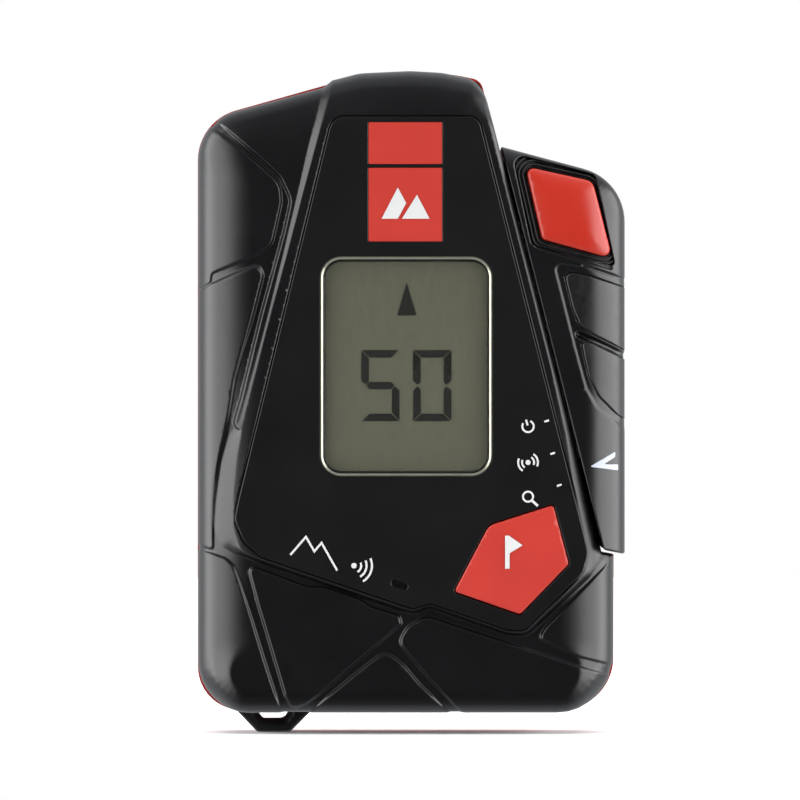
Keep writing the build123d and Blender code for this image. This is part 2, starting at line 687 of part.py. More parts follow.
# ---------------------------------------------------------------- battery door
with BuildPart() as battery_door:
    door_middle = (sum(DOOR_X) / 2, (DOOR_TOP + HINGE_Z) / 2)
    with BuildSketch(facing(BACK_Y)):
        with Locations(door_middle):
            Rectangle(DOOR_X[1] - DOOR_X[0], DOOR_TOP - HINGE_Z)
    extrude(amount=DOOR_T)
    top_corners = battery_door.edges().filter_by(Axis.Y).group_by(Axis.Z)[-1]
    fillet(top_corners, radius=1.0)
    with BuildSketch(Plane.YZ.offset(DOOR_X[0])):
        with Locations((HINGE_Y, HINGE_Z)):
            Circle(HINGE_R)
    extrude(amount=DOOR_X[1] - DOOR_X[0])
    with BuildSketch(Plane.YZ.offset(DOOR_X[0] - 1)):
        with Locations((HINGE_Y, HINGE_Z)):
            Circle(PIN_R + 0.06)
    extrude(amount=DOOR_X[1] - DOOR_X[0] + 2, mode=Mode.SUBTRACT)
    with BuildSketch(facing(BACK_Y + 1)):
        with Locations(LOCK_SPOT):
            Circle(LOCK_R + 0.15)
    extrude(amount=2.2, mode=Mode.SUBTRACT)
    with BuildSketch(facing(BACK_Y + 1)):
        with Locations(LOCK_SPOT):
            Circle(1.9)
    extrude(amount=4, mode=Mode.SUBTRACT)
    for z in (60.0, 63.0, 66.0, 69.0, 72.0):
        with BuildSketch(facing(BACK_Y + 1)):
            with Locations((door_middle[0], z)):
                SlotOverall(11.0, 1.2)
        extrude(amount=1.4, mode=Mode.SUBTRACT)
finish(battery_door, "battery_door")

with BuildPart() as door_seal:
    with BuildSketch(facing(BACK_Y - DOOR_T)):
        with Locations(tray_middle):
            RectangleRounded(16.8, 56.8, 1.4)
            RectangleRounded(15.2, 55.2, 0.8, mode=Mode.SUBTRACT)
    extrude(amount=BACK_Y - DOOR_T - TRAY_Y[1] - 0.1)
finish(door_seal, "door_seal")

with BuildPart() as door_hinge_pin:
    with BuildSketch(Plane.YZ.offset(PIN_X[0])):
        with Locations((HINGE_Y, HINGE_Z)):
            Circle(PIN_R)
    extrude(amount=PIN_X[1] - PIN_X[0])
finish(door_hinge_pin, "door_hinge_pin")

with BuildPart() as door_lock:
    with BuildSketch(facing(BACK_Y)):
        with Locations(LOCK_SPOT):
            Circle(LOCK_R)
    extrude(amount=1.1)
    with BuildSketch(facing(BACK_Y)):
        with Locations(LOCK_SPOT):
            Circle(1.75)
    extrude(amount=3.0)
    with BuildSketch(facing(BACK_Y - DOOR_T - 0.25)):
        with Locations(LOCK_SPOT):
            SlotOverall(8.0, 3.0)
    extrude(amount=1.0)
    with BuildSketch(facing(BACK_Y + 0.5)):
        with Locations(LOCK_SPOT):
            Rectangle(6.6, 1.3)
    extrude(amount=1.2, mode=Mode.SUBTRACT)
finish(door_lock, "door_lock")

# ---------------------------------------------------------------- marking key
with BuildPart() as marking_key:
    slab(outline_of(KEY_OUTLINE, 0.5), RAISED_Y - 0.2, FRONT_INNER_Y + 0.15)
    fillet(marking_key.faces().sort_by(Axis.Y)[0].edges(), radius=0.3)
    slab(outline_of(KEY_OUTLINE, 0.5, 1.0), FRONT_INNER_Y + 0.1, FRONT_INNER_Y + 0.9)
finish(marking_key, "marking_key")

with BuildPart() as key_flag:
    face_y = RAISED_Y - 0.2
    with BuildSketch(facing(face_y)):
        with Locations((15.95, 30.45)):
            Rectangle(0.75, 5.5)
        with BuildLine():
            Polyline((16.2, 33.2), (18.5, 31.6), (16.2, 30.2), close=True)
        make_face()
    extrude(amount=PRINT_T)
finish(key_flag, "key_flag")


# ---------------------------------------------------------------- slider
def slider_profile(grow):
    """Front view of the slider, grown at its top and right side."""
    slope = (SLIDER_CORNER[1] - TIP[1]) / (SLIDER_CORNER[0] - TIP[0])
    far = SLIDER_RIGHT + grow
    top = TIP[1] + grow * 1.04
    with BuildSketch(Plane.XY) as drawn:
        with BuildLine():
            Polyline(
                (TIP[0], top),
                (far, top + slope * (far - TIP[0])),
                (far, SLIDER_FOOT[1]),
                slide_point((TIP[1] - SLIDER_FOOT[0]) / cos(radians(TILT)), 0),
                close=True,
            )
        make_face()
        fillet(drawn.vertices().group_by(Axis.X)[-1].sort_by(Axis.Y)[-1], radius=SLIDER_CORNER_R + grow)
    return drawn.sketch


def slider_envelope(grow, round_by=SLIDER_ROUND):
    """The slider's outer body, grown at its top, right side, front and back."""
    half = SLIDER_HALF_DEPTH + grow
    with BuildPart() as envelope:
        with BuildSketch(facing(half)):
            add(slider_profile(grow))
        extrude(amount=2 * half)
        flat_faces = envelope.faces().sort_by(Axis.Y)
        long_edges = flat_faces[0].edges() + flat_faces[-1].edges()
        outer = long_edges.filter_by(lambda e: e.center().X > 20 and e.center().Z > 35 and not on_flank(e))
        fillet(outer, radius=round_by + grow)
    return envelope.part


def on_flank(edge):
    """True for an edge that runs along the slider's inner side."""
    a = radians(TILT)
    middle = edge.center()
    out = (middle.X - TIP[0]) * cos(a) + (middle.Z - TIP[1]) * sin(a)
    return abs(out) < 0.5


def cavity_profile():
    """Front view of the hollow in the slider, open towards the case and downwards."""
    slope = (SLIDER_CORNER[1] - TIP[1]) / (SLIDER_CORNER[0] - TIP[0])
    right = SLIDER_RIGHT - SLIDER_WALL
    drop = SLIDER_WALL * 1.04
    with BuildSketch(Plane.XY) as drawn:
        with BuildLine():
            Polyline(
                (0, TIP[1] - drop + slope * (0 - TIP[0])),
                (right, TIP[1] - drop + slope * (right - TIP[0])),
                (right, 10),
                (0, 10),
                close=True,
            )
        make_face()
        shoulder = drawn.vertices().group_by(Axis.X)[-1].sort_by(Axis.Y)[-1]
        fillet(shoulder, radius=SLIDER_CORNER_R - SLIDER_WALL)
    return drawn.sketch


SLIDER_INNER_Y = SLIDER_HALF_DEPTH - SLIDER_WALL
RUNNER_U = (18.0, 48.0)
RUNNER_V = (1.0, 5.6)
BOSS_U = (23.0, 38.0)
MAGNET_U = 44.5
BUTTON_RING = 1.2  # width of the black seal round the button
FLANGE_Y = (-SLIDER_INNER_Y + 0.1, -SLIDER_INNER_Y + 0.9)
SEAT_Y = (-7.4, -6.9)
PAD_OUTLINES = [
    [(24.6, 77.9), (33.0, 75.6), (40.0, 72.4), (40.0, 62.4), (27.4, 68.3), (26.2, 72.5)],
    [(27.6, 66.6), (40.0, 60.6), (40.0, 48.6), (33.9, 53.2), (30.6, 56.6), (29.4, 58.4)],
]
PAD_SINK = 0.7
PAD_PROUD = 0.2

with BuildPart() as mode_slider:
    add(slider_envelope(0))
    with BuildSketch(facing(SLIDER_INNER_Y)):
        add(cavity_profile())
    extrude(amount=2 * SLIDER_INNER_Y, mode=Mode.SUBTRACT)
    for u in BOSS_U:
        with BuildSketch(out_plane(u, RUNNER_V[1])):
            Circle(2.2)
        extrude(amount=16)
    with BuildSketch(facing(SEAT_Y[1])):
        with BuildLine():
            Polyline((23.0, 90.0), (34.8, 90.0), (34.8, 84.0), (23.0, 84.0), close=True)
        make_face()
        with Locations(BUTTON_STEM):
            Circle(2.3, mode=Mode.SUBTRACT)
    extrude(amount=SEAT_Y[1] - SEAT_Y[0])
    add(slider_envelope(0), mode=Mode.INTERSECT)
    slab(outline_of(BUTTON_OUTLINE, 0.8, BUTTON_RING), -20, -SLIDER_INNER_Y + 0.1, Mode.SUBTRACT)
    for u in BOSS_U:
        with BuildSketch(out_plane(u, RUNNER_V[1])):
            Circle(0.8)
        extrude(amount=4.5, mode=Mode.SUBTRACT)
with BuildPart() as pad_room:
    for points in PAD_OUTLINES:
        with BuildSketch(facing(13)):
            add(outline_of(points, 1.2, 0.08))
        extrude(amount=26)
    add(slider_envelope(-PAD_SINK), mode=Mode.SUBTRACT)
with BuildPart(mode=Mode.PRIVATE) as whole_slider:
    add(mode_slider.part)
    add(pad_room.part, mode=Mode.SUBTRACT)
finish(whole_slider, "mode_slider")

with BuildPart() as slider_grips:
    for points in PAD_OUTLINES:
        with BuildSketch(facing(13)):
            add(outline_of(points, 1.2))
        extrude(amount=26)
    add(slider_envelope(PAD_PROUD), mode=Mode.INTERSECT)
    add(slider_envelope(-PAD_SINK), mode=Mode.SUBTRACT)
finish(slider_grips, "slider_grips")

POINTER_POINTS = [(29.7, 44.68), (34.0, 47.2), (34.0, 46.3), (32.05, 45.08), (34.5, 45.05), (34.5, 44.05)]

with BuildPart() as mode_pointer:
    slab(outline_of(POINTER_POINTS), -20, 0)
    add(slider_envelope(0.06), mode=Mode.INTERSECT)
    add(slider_envelope(0), mode=Mode.SUBTRACT)
finish(mode_pointer, "mode_pointer")

with BuildPart() as button_bezel:
    slab(outline_of(BUTTON_OUTLINE, 0.8, BUTTON_RING), -20, -SLIDER_INNER_Y)
    slab(outline_of(BUTTON_OUTLINE, 0.8, 0.2), -21, 0, Mode.SUBTRACT)
    add(slider_envelope(0.3), mode=Mode.INTERSECT)
finish(button_bezel, "button_bezel")

with BuildPart() as lock_button:
    slab(outline_of(BUTTON_OUTLINE, 0.8), -20, FLANGE_Y[0])
    add(slider_envelope(0.8), mode=Mode.INTERSECT)
    with BuildSketch(facing(FLANGE_Y[1])):
        add(cavity_profile())
        offset(amount=-0.35, kind=Kind.INTERSECTION)
        add(outline_of(BUTTON_OUTLINE, 0.8, 0.8), mode=Mode.INTERSECT)
    extrude(amount=FLANGE_Y[1] - FLANGE_Y[0])
    with BuildSketch(facing(-6.2)):
        with Locations(BUTTON_STEM):
            Circle(1.9)
    extrude(amount=4.5)
finish(lock_button, "lock_button")

with BuildPart() as lock_pawl:
    with BuildSketch(facing(-4.2)):
        with BuildLine():
            Polyline((23.6, 88.6), (24.8, 89.6), (28.4, 89.6), (28.4, 85.2), (24.8, 85.2), close=True)
        make_face()
    extrude(amount=2.0)
finish(lock_pawl, "lock_pawl")

with BuildPart() as button_spring:
    spring_start = FLANGE_Y[1] + 0.32
    with BuildLine():
        spring_path = Helix(
            pitch=0.8,
            height=SEAT_Y[0] - spring_start - 0.32,
            radius=2.9,
            center=(BUTTON_STEM[0], spring_start, BUTTON_STEM[1]),
            direction=(0, 1, 0),
        )
    with BuildSketch(Plane(origin=spring_path @ 0, z_dir=spring_path % 0)):
        Circle(0.22)
    sweep()
finish(button_spring, "button_spring")

# ---------------------------------------------------------------- rail, runner and detent
RAIL_U = (13.0, 54.0)
RAIL_HEAD_V = (2.2, 3.8)
RAIL_HEAD_HALF = 3.2
RAIL_NECK_HALF = 1.5

with BuildPart() as guide_rail:
    with BuildSketch(slide_plane(RAIL_U[0])):
        with Locations((0.15, 0)):
            Rectangle(1.0, 9.0)
        with Locations((1.4, 0)):
            Rectangle(2.0, 2 * RAIL_NECK_HALF)
        with Locations((sum(RAIL_HEAD_V) / 2, 0)):
            Rectangle(RAIL_HEAD_V[1] - RAIL_HEAD_V[0], 2 * RAIL_HEAD_HALF)
    extrude(amount=RAIL_U[1] - RAIL_U[0])
finish(guide_rail, "guide_rail")

with BuildPart() as slider_runner:
    with BuildSketch(slide_plane(RUNNER_U[0])):
        with Locations((sum(RUNNER_V) / 2, 0)):
            Rectangle(RUNNER_V[1] - RUNNER_V[0], 11.0)
        with Locations((1.4, 0)):
            Rectangle(1.4, 2 * RAIL_NECK_HALF + 0.5, mode=Mode.SUBTRACT)
        with Locations((sum(RAIL_HEAD_V) / 2, 0)):
            Rectangle(2.1, 2 * RAIL_HEAD_HALF + 0.5, mode=Mode.SUBTRACT)
        with Locations((2.9, -7.6)):
            Rectangle(1.4, 4.4)
    extrude(amount=RUNNER_U[1] - RUNNER_U[0])
    for step in (-1, 0, 1):
        with BuildSketch(Plane.XZ.offset(-12)):
            with Locations(slide_point(33.0 + step * TRAVEL, 2.2)):
                Circle(0.8)
        extrude(amount=6.4, mode=Mode.SUBTRACT)
    for u in BOSS_U:
        with BuildSketch(out_plane(u, 4.0)):
            Circle(1.05)
        extrude(amount=2.0, mode=Mode.SUBTRACT)
        with BuildSketch(out_plane(u, 4.0)):
            Circle(1.75)
        extrude(amount=0.9, mode=Mode.SUBTRACT)
    with BuildSketch(out_plane(MAGNET_U, 4.4)):
        Circle(2.0)
    extrude(amount=2.0, mode=Mode.SUBTRACT)
finish(slider_runner, "slider_runner")

with BuildPart() as slider_screws:
    for u in BOSS_U:
        with BuildSketch(out_plane(u, 4.15)):
            Circle(1.6)
        extrude(amount=0.75)
        with BuildSketch(out_plane(u, 4.5)):
            Circle(0.75)
        extrude(amount=4.8)
finish(slider_screws, "slider_screws")

with BuildPart() as slider_magnet:
    with BuildSketch(out_plane(MAGNET_U, 4.4)):
        Circle(1.97)
    extrude(amount=1.2)
finish(slider_magnet, "slider_magnet")

LEAF_T = 0.3
LEAF_CENTRE = [
    (24, -0.2),
    (28, -0.2),
    (31.2, 1.1),
    (32.2, 1.1),
    (33, 1.9),
    (33.8, 1.1),
    (34.8, 1.1),
    (38, -0.2),
    (42, -0.2),
]
with BuildPart() as detent_spring:
    with BuildSketch(Plane.XZ.offset(-9.4)):
        with BuildLine():
            Polyline(*[slide_point(u, v) for u, v in LEAF_CENTRE])
        trace(line_width=LEAF_T)
    extrude(amount=3.2)
finish(detent_spring, "detent_spring")

SENSOR_BOARD_V = -FLANK_GAP - WALL
with BuildPart() as sensor_board:
    with BuildSketch(out_plane(MAGNET_U, SENSOR_BOARD_V - 0.9)):
        Rectangle(7.0, 18.0)
    extrude(amount=0.8)
finish(sensor_board, "sensor_board")

with BuildPart() as hall_sensors:
    for step in (-1, 0, 1):
        with BuildSketch(out_plane(MAGNET_U + step * TRAVEL, SENSOR_BOARD_V - 1.8)):
            Rectangle(3.0, 2.4)
        extrude(amount=0.9)
finish(hall_sensors, "hall_sensors")
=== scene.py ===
import math

import bpy
import numpy as np
import openvdb
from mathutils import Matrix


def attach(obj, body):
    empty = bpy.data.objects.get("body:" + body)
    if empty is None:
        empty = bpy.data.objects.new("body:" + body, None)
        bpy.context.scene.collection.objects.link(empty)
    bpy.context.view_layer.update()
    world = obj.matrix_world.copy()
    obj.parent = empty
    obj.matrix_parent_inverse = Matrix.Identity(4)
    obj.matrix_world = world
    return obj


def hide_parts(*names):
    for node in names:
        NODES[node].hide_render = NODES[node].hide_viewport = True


# Avalanche transceiver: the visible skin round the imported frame. Shapes are worked out in millimetres
# in the frame's own axes, and turned into metres when a mesh is made.

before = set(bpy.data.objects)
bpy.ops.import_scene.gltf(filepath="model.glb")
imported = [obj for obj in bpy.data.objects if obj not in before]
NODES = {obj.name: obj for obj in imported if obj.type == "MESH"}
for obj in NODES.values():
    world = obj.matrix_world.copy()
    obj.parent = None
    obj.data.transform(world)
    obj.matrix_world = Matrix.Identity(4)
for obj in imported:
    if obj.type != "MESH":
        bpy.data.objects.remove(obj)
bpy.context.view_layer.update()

MM = 0.001
DRAWING_STEP = 0.14

# Levels of the case, front to back
FRONT_Y = -12.2
RAISE = 1.0
FACIA_FRONT_Y = -13.2
FACIA_FLOOR_Y = -12.6
WINDOW_FLOOR_Y = -11.9
OPENING_BACK_Y = -9.0
SCREW_SEAT_Y = -6.2
PARTING_Y = -1.0
CASE_WALL = 2.0

# The slider's seam leans by TILT from its upper end at TIP
TILT = math.radians(14.25)
TIP = (14.85, 98.35)
FLANK_GAP = 0.35
SLIDER_FRONT_Y = -12.6
SLIDER_WALL = 1.6


# ---------------------------------------------------------------- distances
def smooth_max(a, b, r):
    """The larger of two distances, with the corner between them rounded by r."""
    u = np.maximum(a + r, 0.0)
    v = np.maximum(b + r, 0.0)
    return np.minimum(np.maximum(a, b), -r) + np.sqrt(u * u + v * v)


def smooth_min(a, b, r):
    return -smooth_max(-a, -b, r)


def fade(value, start, end):
    """0 before start, 1 after end, smooth between."""
    t = np.clip((value - start) / (end - start), 0.0, 1.0)
    return t * t * (3.0 - 2.0 * t)


def soft_step(t, k=0.18):
    """t held between 0 and 1, with both corners rounded."""
    return smooth_min(smooth_max(t, 0.0, k), 1.0, k)


def mix(a, b, t):
    return a + (b - a) * t


def rounded(points, radius=0.0, steps=5):
    """Closed outline with its corners turned into arcs. A point may carry its own radius."""
    outline = []
    for i, point in enumerate(points):
        p = np.array(point[:2], float)
        r = point[2] if len(point) > 2 else radius
        a = np.array(points[i - 1][:2], float) - p
        b = np.array(points[(i + 1) % len(points)][:2], float) - p
        length_a, length_b = np.linalg.norm(a), np.linalg.norm(b)
        a, b = a / length_a, b / length_b
        angle = math.acos(max(-1.0, min(1.0, float(a @ b))))
        if r <= 0 or math.pi - angle < 0.02:
            outline.append(p)
            continue
        reach = min(r / math.tan(angle / 2), 0.48 * length_a, 0.48 * length_b)
        r = reach * math.tan(angle / 2)
        centre = p + (a + b) / np.linalg.norm(a + b) * (r / math.sin(angle / 2))
        start, end = p + a * reach - centre, p + b * reach - centre
        first = math.atan2(start[1], start[0])
        sweep = (math.atan2(end[1], end[0]) - first + math.pi) % (2 * math.pi) - math.pi
        for k in range(steps + 1):
            turn = first + sweep * k / steps
            outline.append(centre + r * np.array([math.cos(turn), math.sin(turn)]))
    return np.array(outline)


def box_points(middle, width, height, radius, turn=0.0):
    """Rounded rectangle as an outline, turned by so many degrees."""
    a = math.radians(turn)
    spots = []
    for sx, sz in ((-1, 1), (-1, -1), (1, -1), (1, 1)):
        dx, dz = sx * width / 2, sz * height / 2
        spots.append((
            middle[0] + dx * math.cos(a) - dz * math.sin(a),
            middle[1] + dx * math.sin(a) + dz * math.cos(a),
            radius,
        ))
    return rounded(spots, steps=8)


def outline_distance(x, z, outline):
    """Distance to a closed outline, negative inside."""
    best = np.full(x.shape, 1e9)
    inside = np.zeros(x.shape, bool)
    for (ax, az), (bx, bz) in zip(outline, np.roll(outline, -1, axis=0)):
        ex, ez = bx - ax, bz - az
        wx, wz = x - ax, z - az
        t = np.clip((wx * ex + wz * ez) / (ex * ex + ez * ez + 1e-12), 0.0, 1.0)
        dx, dz = wx - ex * t, wz - ez * t
        best = np.minimum(best, dx * dx + dz * dz)
        if az != bz:
            crosses = (az <= z) != (bz <= z)
            inside ^= crosses & (wx < wz * ex / ez)
    return np.where(inside, -1.0, 1.0) * np.sqrt(best)


def path_distance(x, z, path):
    """Distance to an open path."""
    best = np.full(x.shape, 1e9)
    for (ax, az), (bx, bz) in zip(path[:-1], path[1:]):
        ex, ez = bx - ax, bz - az
        t = np.clip(((x - ax) * ex + (z - az) * ez) / (ex * ex + ez * ez), 0.0, 1.0)
        best = np.minimum(best, (x - ax - ex * t) ** 2 + (z - az - ez * t) ** 2)
    return np.sqrt(best)


def loft(x, z, foot, top):
    """0 outside the foot outline, 1 inside the top outline, even between them."""
    outside_top = np.maximum(outline_distance(x, z, top), 0.0)
    inside_foot = np.maximum(-outline_distance(x, z, foot), 0.0)
    return inside_foot / (inside_foot + outside_top + 1e-6)


def slide_point(u, v):
    """(x, z) of a point u down the slide axis and v out from the slider's inner edge."""
    return (
        TIP[0] + u * math.sin(TILT) + v * math.cos(TILT),
        TIP[1] - u * math.cos(TILT) + v * math.sin(TILT),
    )


def slide_axes(x, z):
    """u and v of points in the front view."""
    dx, dz = x - TIP[0], z - TIP[1]
    u = dx * math.sin(TILT) - dz * math.cos(TILT)
    v = dx * math.cos(TILT) + dz * math.sin(TILT)
    return u, v


# ---------------------------------------------------------------- meshing
def new_mesh(name, points, triangles, quads, normals):
    """Object from vertex and face arrays, given in millimetres."""
    mesh = bpy.data.meshes.new(name)
    mesh.vertices.add(len(points))
    mesh.vertices.foreach_set("co", (points * MM).astype(np.float32).ravel())
    corners = np.concatenate([triangles.ravel(), quads.ravel()]).astype(np.int32)
    sizes = np.concatenate([np.full(len(triangles), 3), np.full(len(quads), 4)]).astype(np.int32)
    starts = np.concatenate([[0], np.cumsum(sizes)[:-1]]).astype(np.int32)
    mesh.loops.add(len(corners))
    mesh.loops.foreach_set("vertex_index", corners)
    mesh.polygons.add(len(sizes))
    mesh.polygons.foreach_set("loop_start", starts)
    mesh.polygons.foreach_set("use_smooth", np.ones(len(sizes), bool))
    mesh.update(calc_edges=True)
    mesh.normals_split_custom_set_from_vertices(normals.astype(np.float32))
    piece = bpy.data.objects.new(name, mesh)
    bpy.context.scene.collection.objects.link(piece)
    return piece


def blur(field, sigma):
    """Gaussian blur of a 2-D field, sigma in grid steps."""
    reach = int(math.ceil(3 * sigma))
    kernel = np.exp(-0.5 * (np.arange(-reach, reach + 1) / sigma) ** 2)
    kernel /= kernel.sum()
    for axis in (0, 1):
        wide = np.pad(field, [(reach, reach) if k == axis else (0, 0) for k in (0, 1)], mode="edge")
        size = field.shape[axis]
        field = sum(w * np.take(wide, np.arange(k, k + size), axis=axis) for k, w in enumerate(kernel))
    return field


class Drawing:
    """Fields drawn in the front view on a fine grid, read anywhere between its points."""

    MARGIN = 6

    def __init__(self, low, high, step, draw, soft):
        self.step = step
        self.low = [low[k] - self.MARGIN * step for k in (0, 2)]
        self.count = [int((high[k] - low[k]) / step) + 2 * self.MARGIN + 2 for k in (0, 2)]
        lines = [self.low[k] + step * np.arange(self.count[k]) for k in (0, 1)]
        fields = draw(*np.meshgrid(*lines, indexing="ij"))
        for key, sigma in soft.items():
            fields[key] = blur(fields[key], sigma / step)
        self.keys = list(fields)
        self.table = np.stack([fields[key] for key in self.keys], axis=-1)

    def __call__(self, x, z):
        """The fields at points, by cubic B-splines."""
        spots, weights = [], []
        for k, value in enumerate((x, z)):
            place = np.clip((value - self.low[k]) / self.step, 1.0, self.count[k] - 3.001)
            spot = place.astype(int)
            t = place - spot
            spots.append(spot)
            weights.append((
                (1 - t) ** 3 / 6, (3 * t**3 - 6 * t**2 + 4) / 6,
                (-3 * t**3 + 3 * t**2 + 3 * t + 1) / 6, t**3 / 6,
            ))
        total = 0.0
        for i in range(4):
            for j in range(4):
                weight = (weights[0][i] * weights[1][j])[..., None]
                total = total + weight * self.table[spots[0] + i - 1, spots[1] + j - 1]
        return {key: total[..., k] for k, key in enumerate(self.keys)}


def sculpt(name, low, high, voxel, draw, solid, adaptivity, soft=None):
    """Piece whose surface is where solid(fields, y) is zero, between two corners in millimetres.

    draw gives the front view's fields, and soft says how far some of them are blurred."""
    plan = Drawing(low, high, DRAWING_STEP, draw, soft or {})
    axes = [np.arange(low[k] - 2.5 * voxel, high[k] + 3.5 * voxel, voxel) for k in range(3)]
    gx, gz = np.meshgrid(axes[0], axes[2], indexing="ij")
    flat = plan(gx, gz)
    band = 3.0 * voxel
    field = np.empty([len(a) for a in axes], np.float32)
    for j, y in enumerate(axes[1]):
        field[:, j, :] = np.clip(solid(flat, y), -band, band)
    grid = openvdb.FloatGrid(band)
    grid.copyFromArray(field)
    points, triangles, quads = grid.convertToPolygons(isovalue=0.0, adaptivity=adaptivity)
    points = points.astype(float) * voxel + np.array([a[0] for a in axes])

    def slope(p, e=0.02):
        """Gradient and value of the solid at points."""
        out = np.empty(p.shape)
        for k in (0, 2):
            step = np.zeros(3)
            step[k] = e
            ahead, behind = p + step, p - step
            out[:, k] = solid(plan(ahead[:, 0], ahead[:, 2]), p[:, 1])
            out[:, k] -= solid(plan(behind[:, 0], behind[:, 2]), p[:, 1])
        here = plan(p[:, 0], p[:, 2])
        out[:, 1] = solid(here, p[:, 1] + e) - solid(here, p[:, 1] - e)
        return out / (2 * e), solid(here, p[:, 1])

    for _ in range(2):
        rise, value = slope(points)
        move = value[:, None] * rise / np.maximum((rise * rise).sum(1), 0.2)[:, None]
        size = np.linalg.norm(move, axis=1)[:, None]
        points -= move * np.minimum(1.0, 0.6 * voxel / np.maximum(size, 1e-9))
    rise, value = slope(points)
    normals = rise / np.maximum(np.linalg.norm(rise, axis=1), 1e-9)[:, None]
    sample = quads if len(quads) > len(triangles) else triangles
    a, b, c = points[sample[:, 0]], points[sample[:, 1]], points[sample[:, 2]]
    if (np.cross(b - a, c - a) * normals[sample[:, 0]]).sum() < 0:
        triangles, quads = triangles[:, ::-1], quads[:, ::-1]
    print("piece", name, len(points), "points", len(triangles) + 2 * len(quads), "triangles")
    return new_mesh(name, points, triangles, quads, normals)


def plate(name, outline, holes, y_front, y_back, bevel):
    """Flat piece cut to an outline with holes, between two depths, with a small bevel on every edge."""
    curve = bpy.data.curves.new(name, "CURVE")
    curve.dimensions = "2D"
    curve.fill_mode = "BOTH"
    for ring in [outline, *holes]:
        spline = curve.splines.new("POLY")
        spline.points.add(len(ring) - 1)
        for point, (x, z) in zip(spline.points, ring):
            point.co = (x, z, 0.0, 1.0)
        spline.use_cyclic_u = True
    curve.extrude = (y_back - y_front) / 2 - bevel
    curve.bevel_depth = bevel
    curve.bevel_resolution = 2
    curve.offset = -bevel
    drawn = bpy.data.objects.new(name, curve)
    bpy.context.scene.collection.objects.link(drawn)
    bpy.context.view_layer.update()
    mesh = bpy.data.meshes.new_from_object(drawn.evaluated_get(bpy.context.evaluated_depsgraph_get()))
    bpy.data.objects.remove(drawn)
    bpy.data.curves.remove(curve)
    middle = (y_front + y_back) / 2
    co = np.zeros(len(mesh.vertices) * 3)
    mesh.vertices.foreach_get("co", co)
    co = co.reshape(-1, 3)
    moved = np.stack([co[:, 0], middle - co[:, 2], co[:, 1]], axis=1) * MM
    mesh.vertices.foreach_set("co", moved.astype(np.float32).ravel())
    mesh.update()
    piece = bpy.data.objects.new(name, mesh)
    bpy.context.scene.collection.objects.link(piece)
    return piece


def dress(piece, body, slot, *nodes):
    """Put a piece on its body, in the place of its CAD nodes, with its slot's material."""
    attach(piece, body)
    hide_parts(*nodes)
    piece.data.materials.clear()
    piece.data.materials.append(MATERIALS[slot])


# ---------------------------------------------------------------- materials
class Nodes:
    """One material under construction."""

    def __init__(self, name):
        self.material = bpy.data.materials.new(name)
        self.material.use_nodes = True
        self.tree = self.material.node_tree
        self.tree.nodes.clear()
        out = self.tree.nodes.new("ShaderNodeOutputMaterial")
        self.shader = self.tree.nodes.new("ShaderNodeBsdfPrincipled")
        self.link(self.shader.outputs[0], out.inputs[0])
        self.place = self.tree.nodes.new("ShaderNodeTexCoord").outputs["Object"]

    def link(self, a, b):
        self.tree.links.new(a, b)

    def feed(self, source, socket):
        """Join a socket to another's output, or give it a plain value."""
        if hasattr(source, "is_linked"):
            self.link(source, socket)
        else:
            socket.default_value = source

    def set(self, **values):
        for key, value in values.items():
            self.shader.inputs[key.replace("_", " ")].default_value = value

    def noise(self, scale, detail=3.0, rough=0.55, stretch=(1, 1, 1)):
        """Noise of so many bumps a metre."""
        mapping = self.tree.nodes.new("ShaderNodeMapping")
        mapping.inputs["Scale"].default_value = stretch
        self.link(self.place, mapping.inputs["Vector"])
        node = self.tree.nodes.new("ShaderNodeTexNoise")
        node.inputs["Scale"].default_value = scale
        node.inputs["Detail"].default_value = detail
        node.inputs["Roughness"].default_value = rough
        self.link(mapping.outputs[0], node.inputs["Vector"])
        return node.outputs["Fac"]

    def ramp(self, source, *stops):
        """Colour from a 0 to 1 value, by stops of (place, colour)."""
        node = self.tree.nodes.new("ShaderNodeValToRGB")
        elements = node.color_ramp.elements
        while len(elements) < len(stops):
            elements.new(0.5)
        for element, (position, colour) in zip(elements, stops):
            element.position = position
            element.color = colour
        self.link(source, node.inputs["Fac"])
        return node.outputs["Color"]

    def span(self, source, low, high, to_low, to_high):
        """A range of values stretched to another range."""
        node = self.tree.nodes.new("ShaderNodeMapRange")
        node.inputs["From Min"].default_value = low
        node.inputs["From Max"].default_value = high
        node.inputs["To Min"].default_value = to_low
        node.inputs["To Max"].default_value = to_high
        self.link(source, node.inputs["Value"])
        return node.outputs["Result"]

    def blend(self, factor, a, b):
        """Colour a turning to colour b as the factor goes from 0 to 1."""
        node = self.tree.nodes.new("ShaderNodeMix")
        node.data_type = "RGBA"
        self.link(factor, node.inputs[0])
        self.feed(a, node.inputs[6])
        self.feed(b, node.inputs[7])
        return node.outputs[2]

    def math(self, operation, *sources):
        node = self.tree.nodes.new("ShaderNodeMath")
        node.operation = operation
        for source, socket in zip(sources, node.inputs):
            self.feed(source, socket)
        return node.outputs[0]

    def times(self, a, b):
        return self.math("MULTIPLY", a, b)

    def plus(self, a, b):
        return self.math("ADD", a, b)

    def bump(self, height, distance):
        """Bump of a height map, distance in metres."""
        node = self.tree.nodes.new("ShaderNodeBump")
        node.inputs["Distance"].default_value = distance
        node.inputs["Strength"].default_value = 1.0
        self.link(height, node.inputs["Height"])
        self.link(node.outputs[0], self.shader.inputs["Normal"])

    def colour(self, output):
        self.link(output, self.shader.inputs["Base Color"])

    def roughness(self, output):
        self.link(output, self.shader.inputs["Roughness"])


def shaded(colour, factor, lift=0.0):
    """Colour made lighter or darker by a factor."""
    return tuple(min(1.0, c * factor + lift) for c in colour[:3]) + (1.0,)


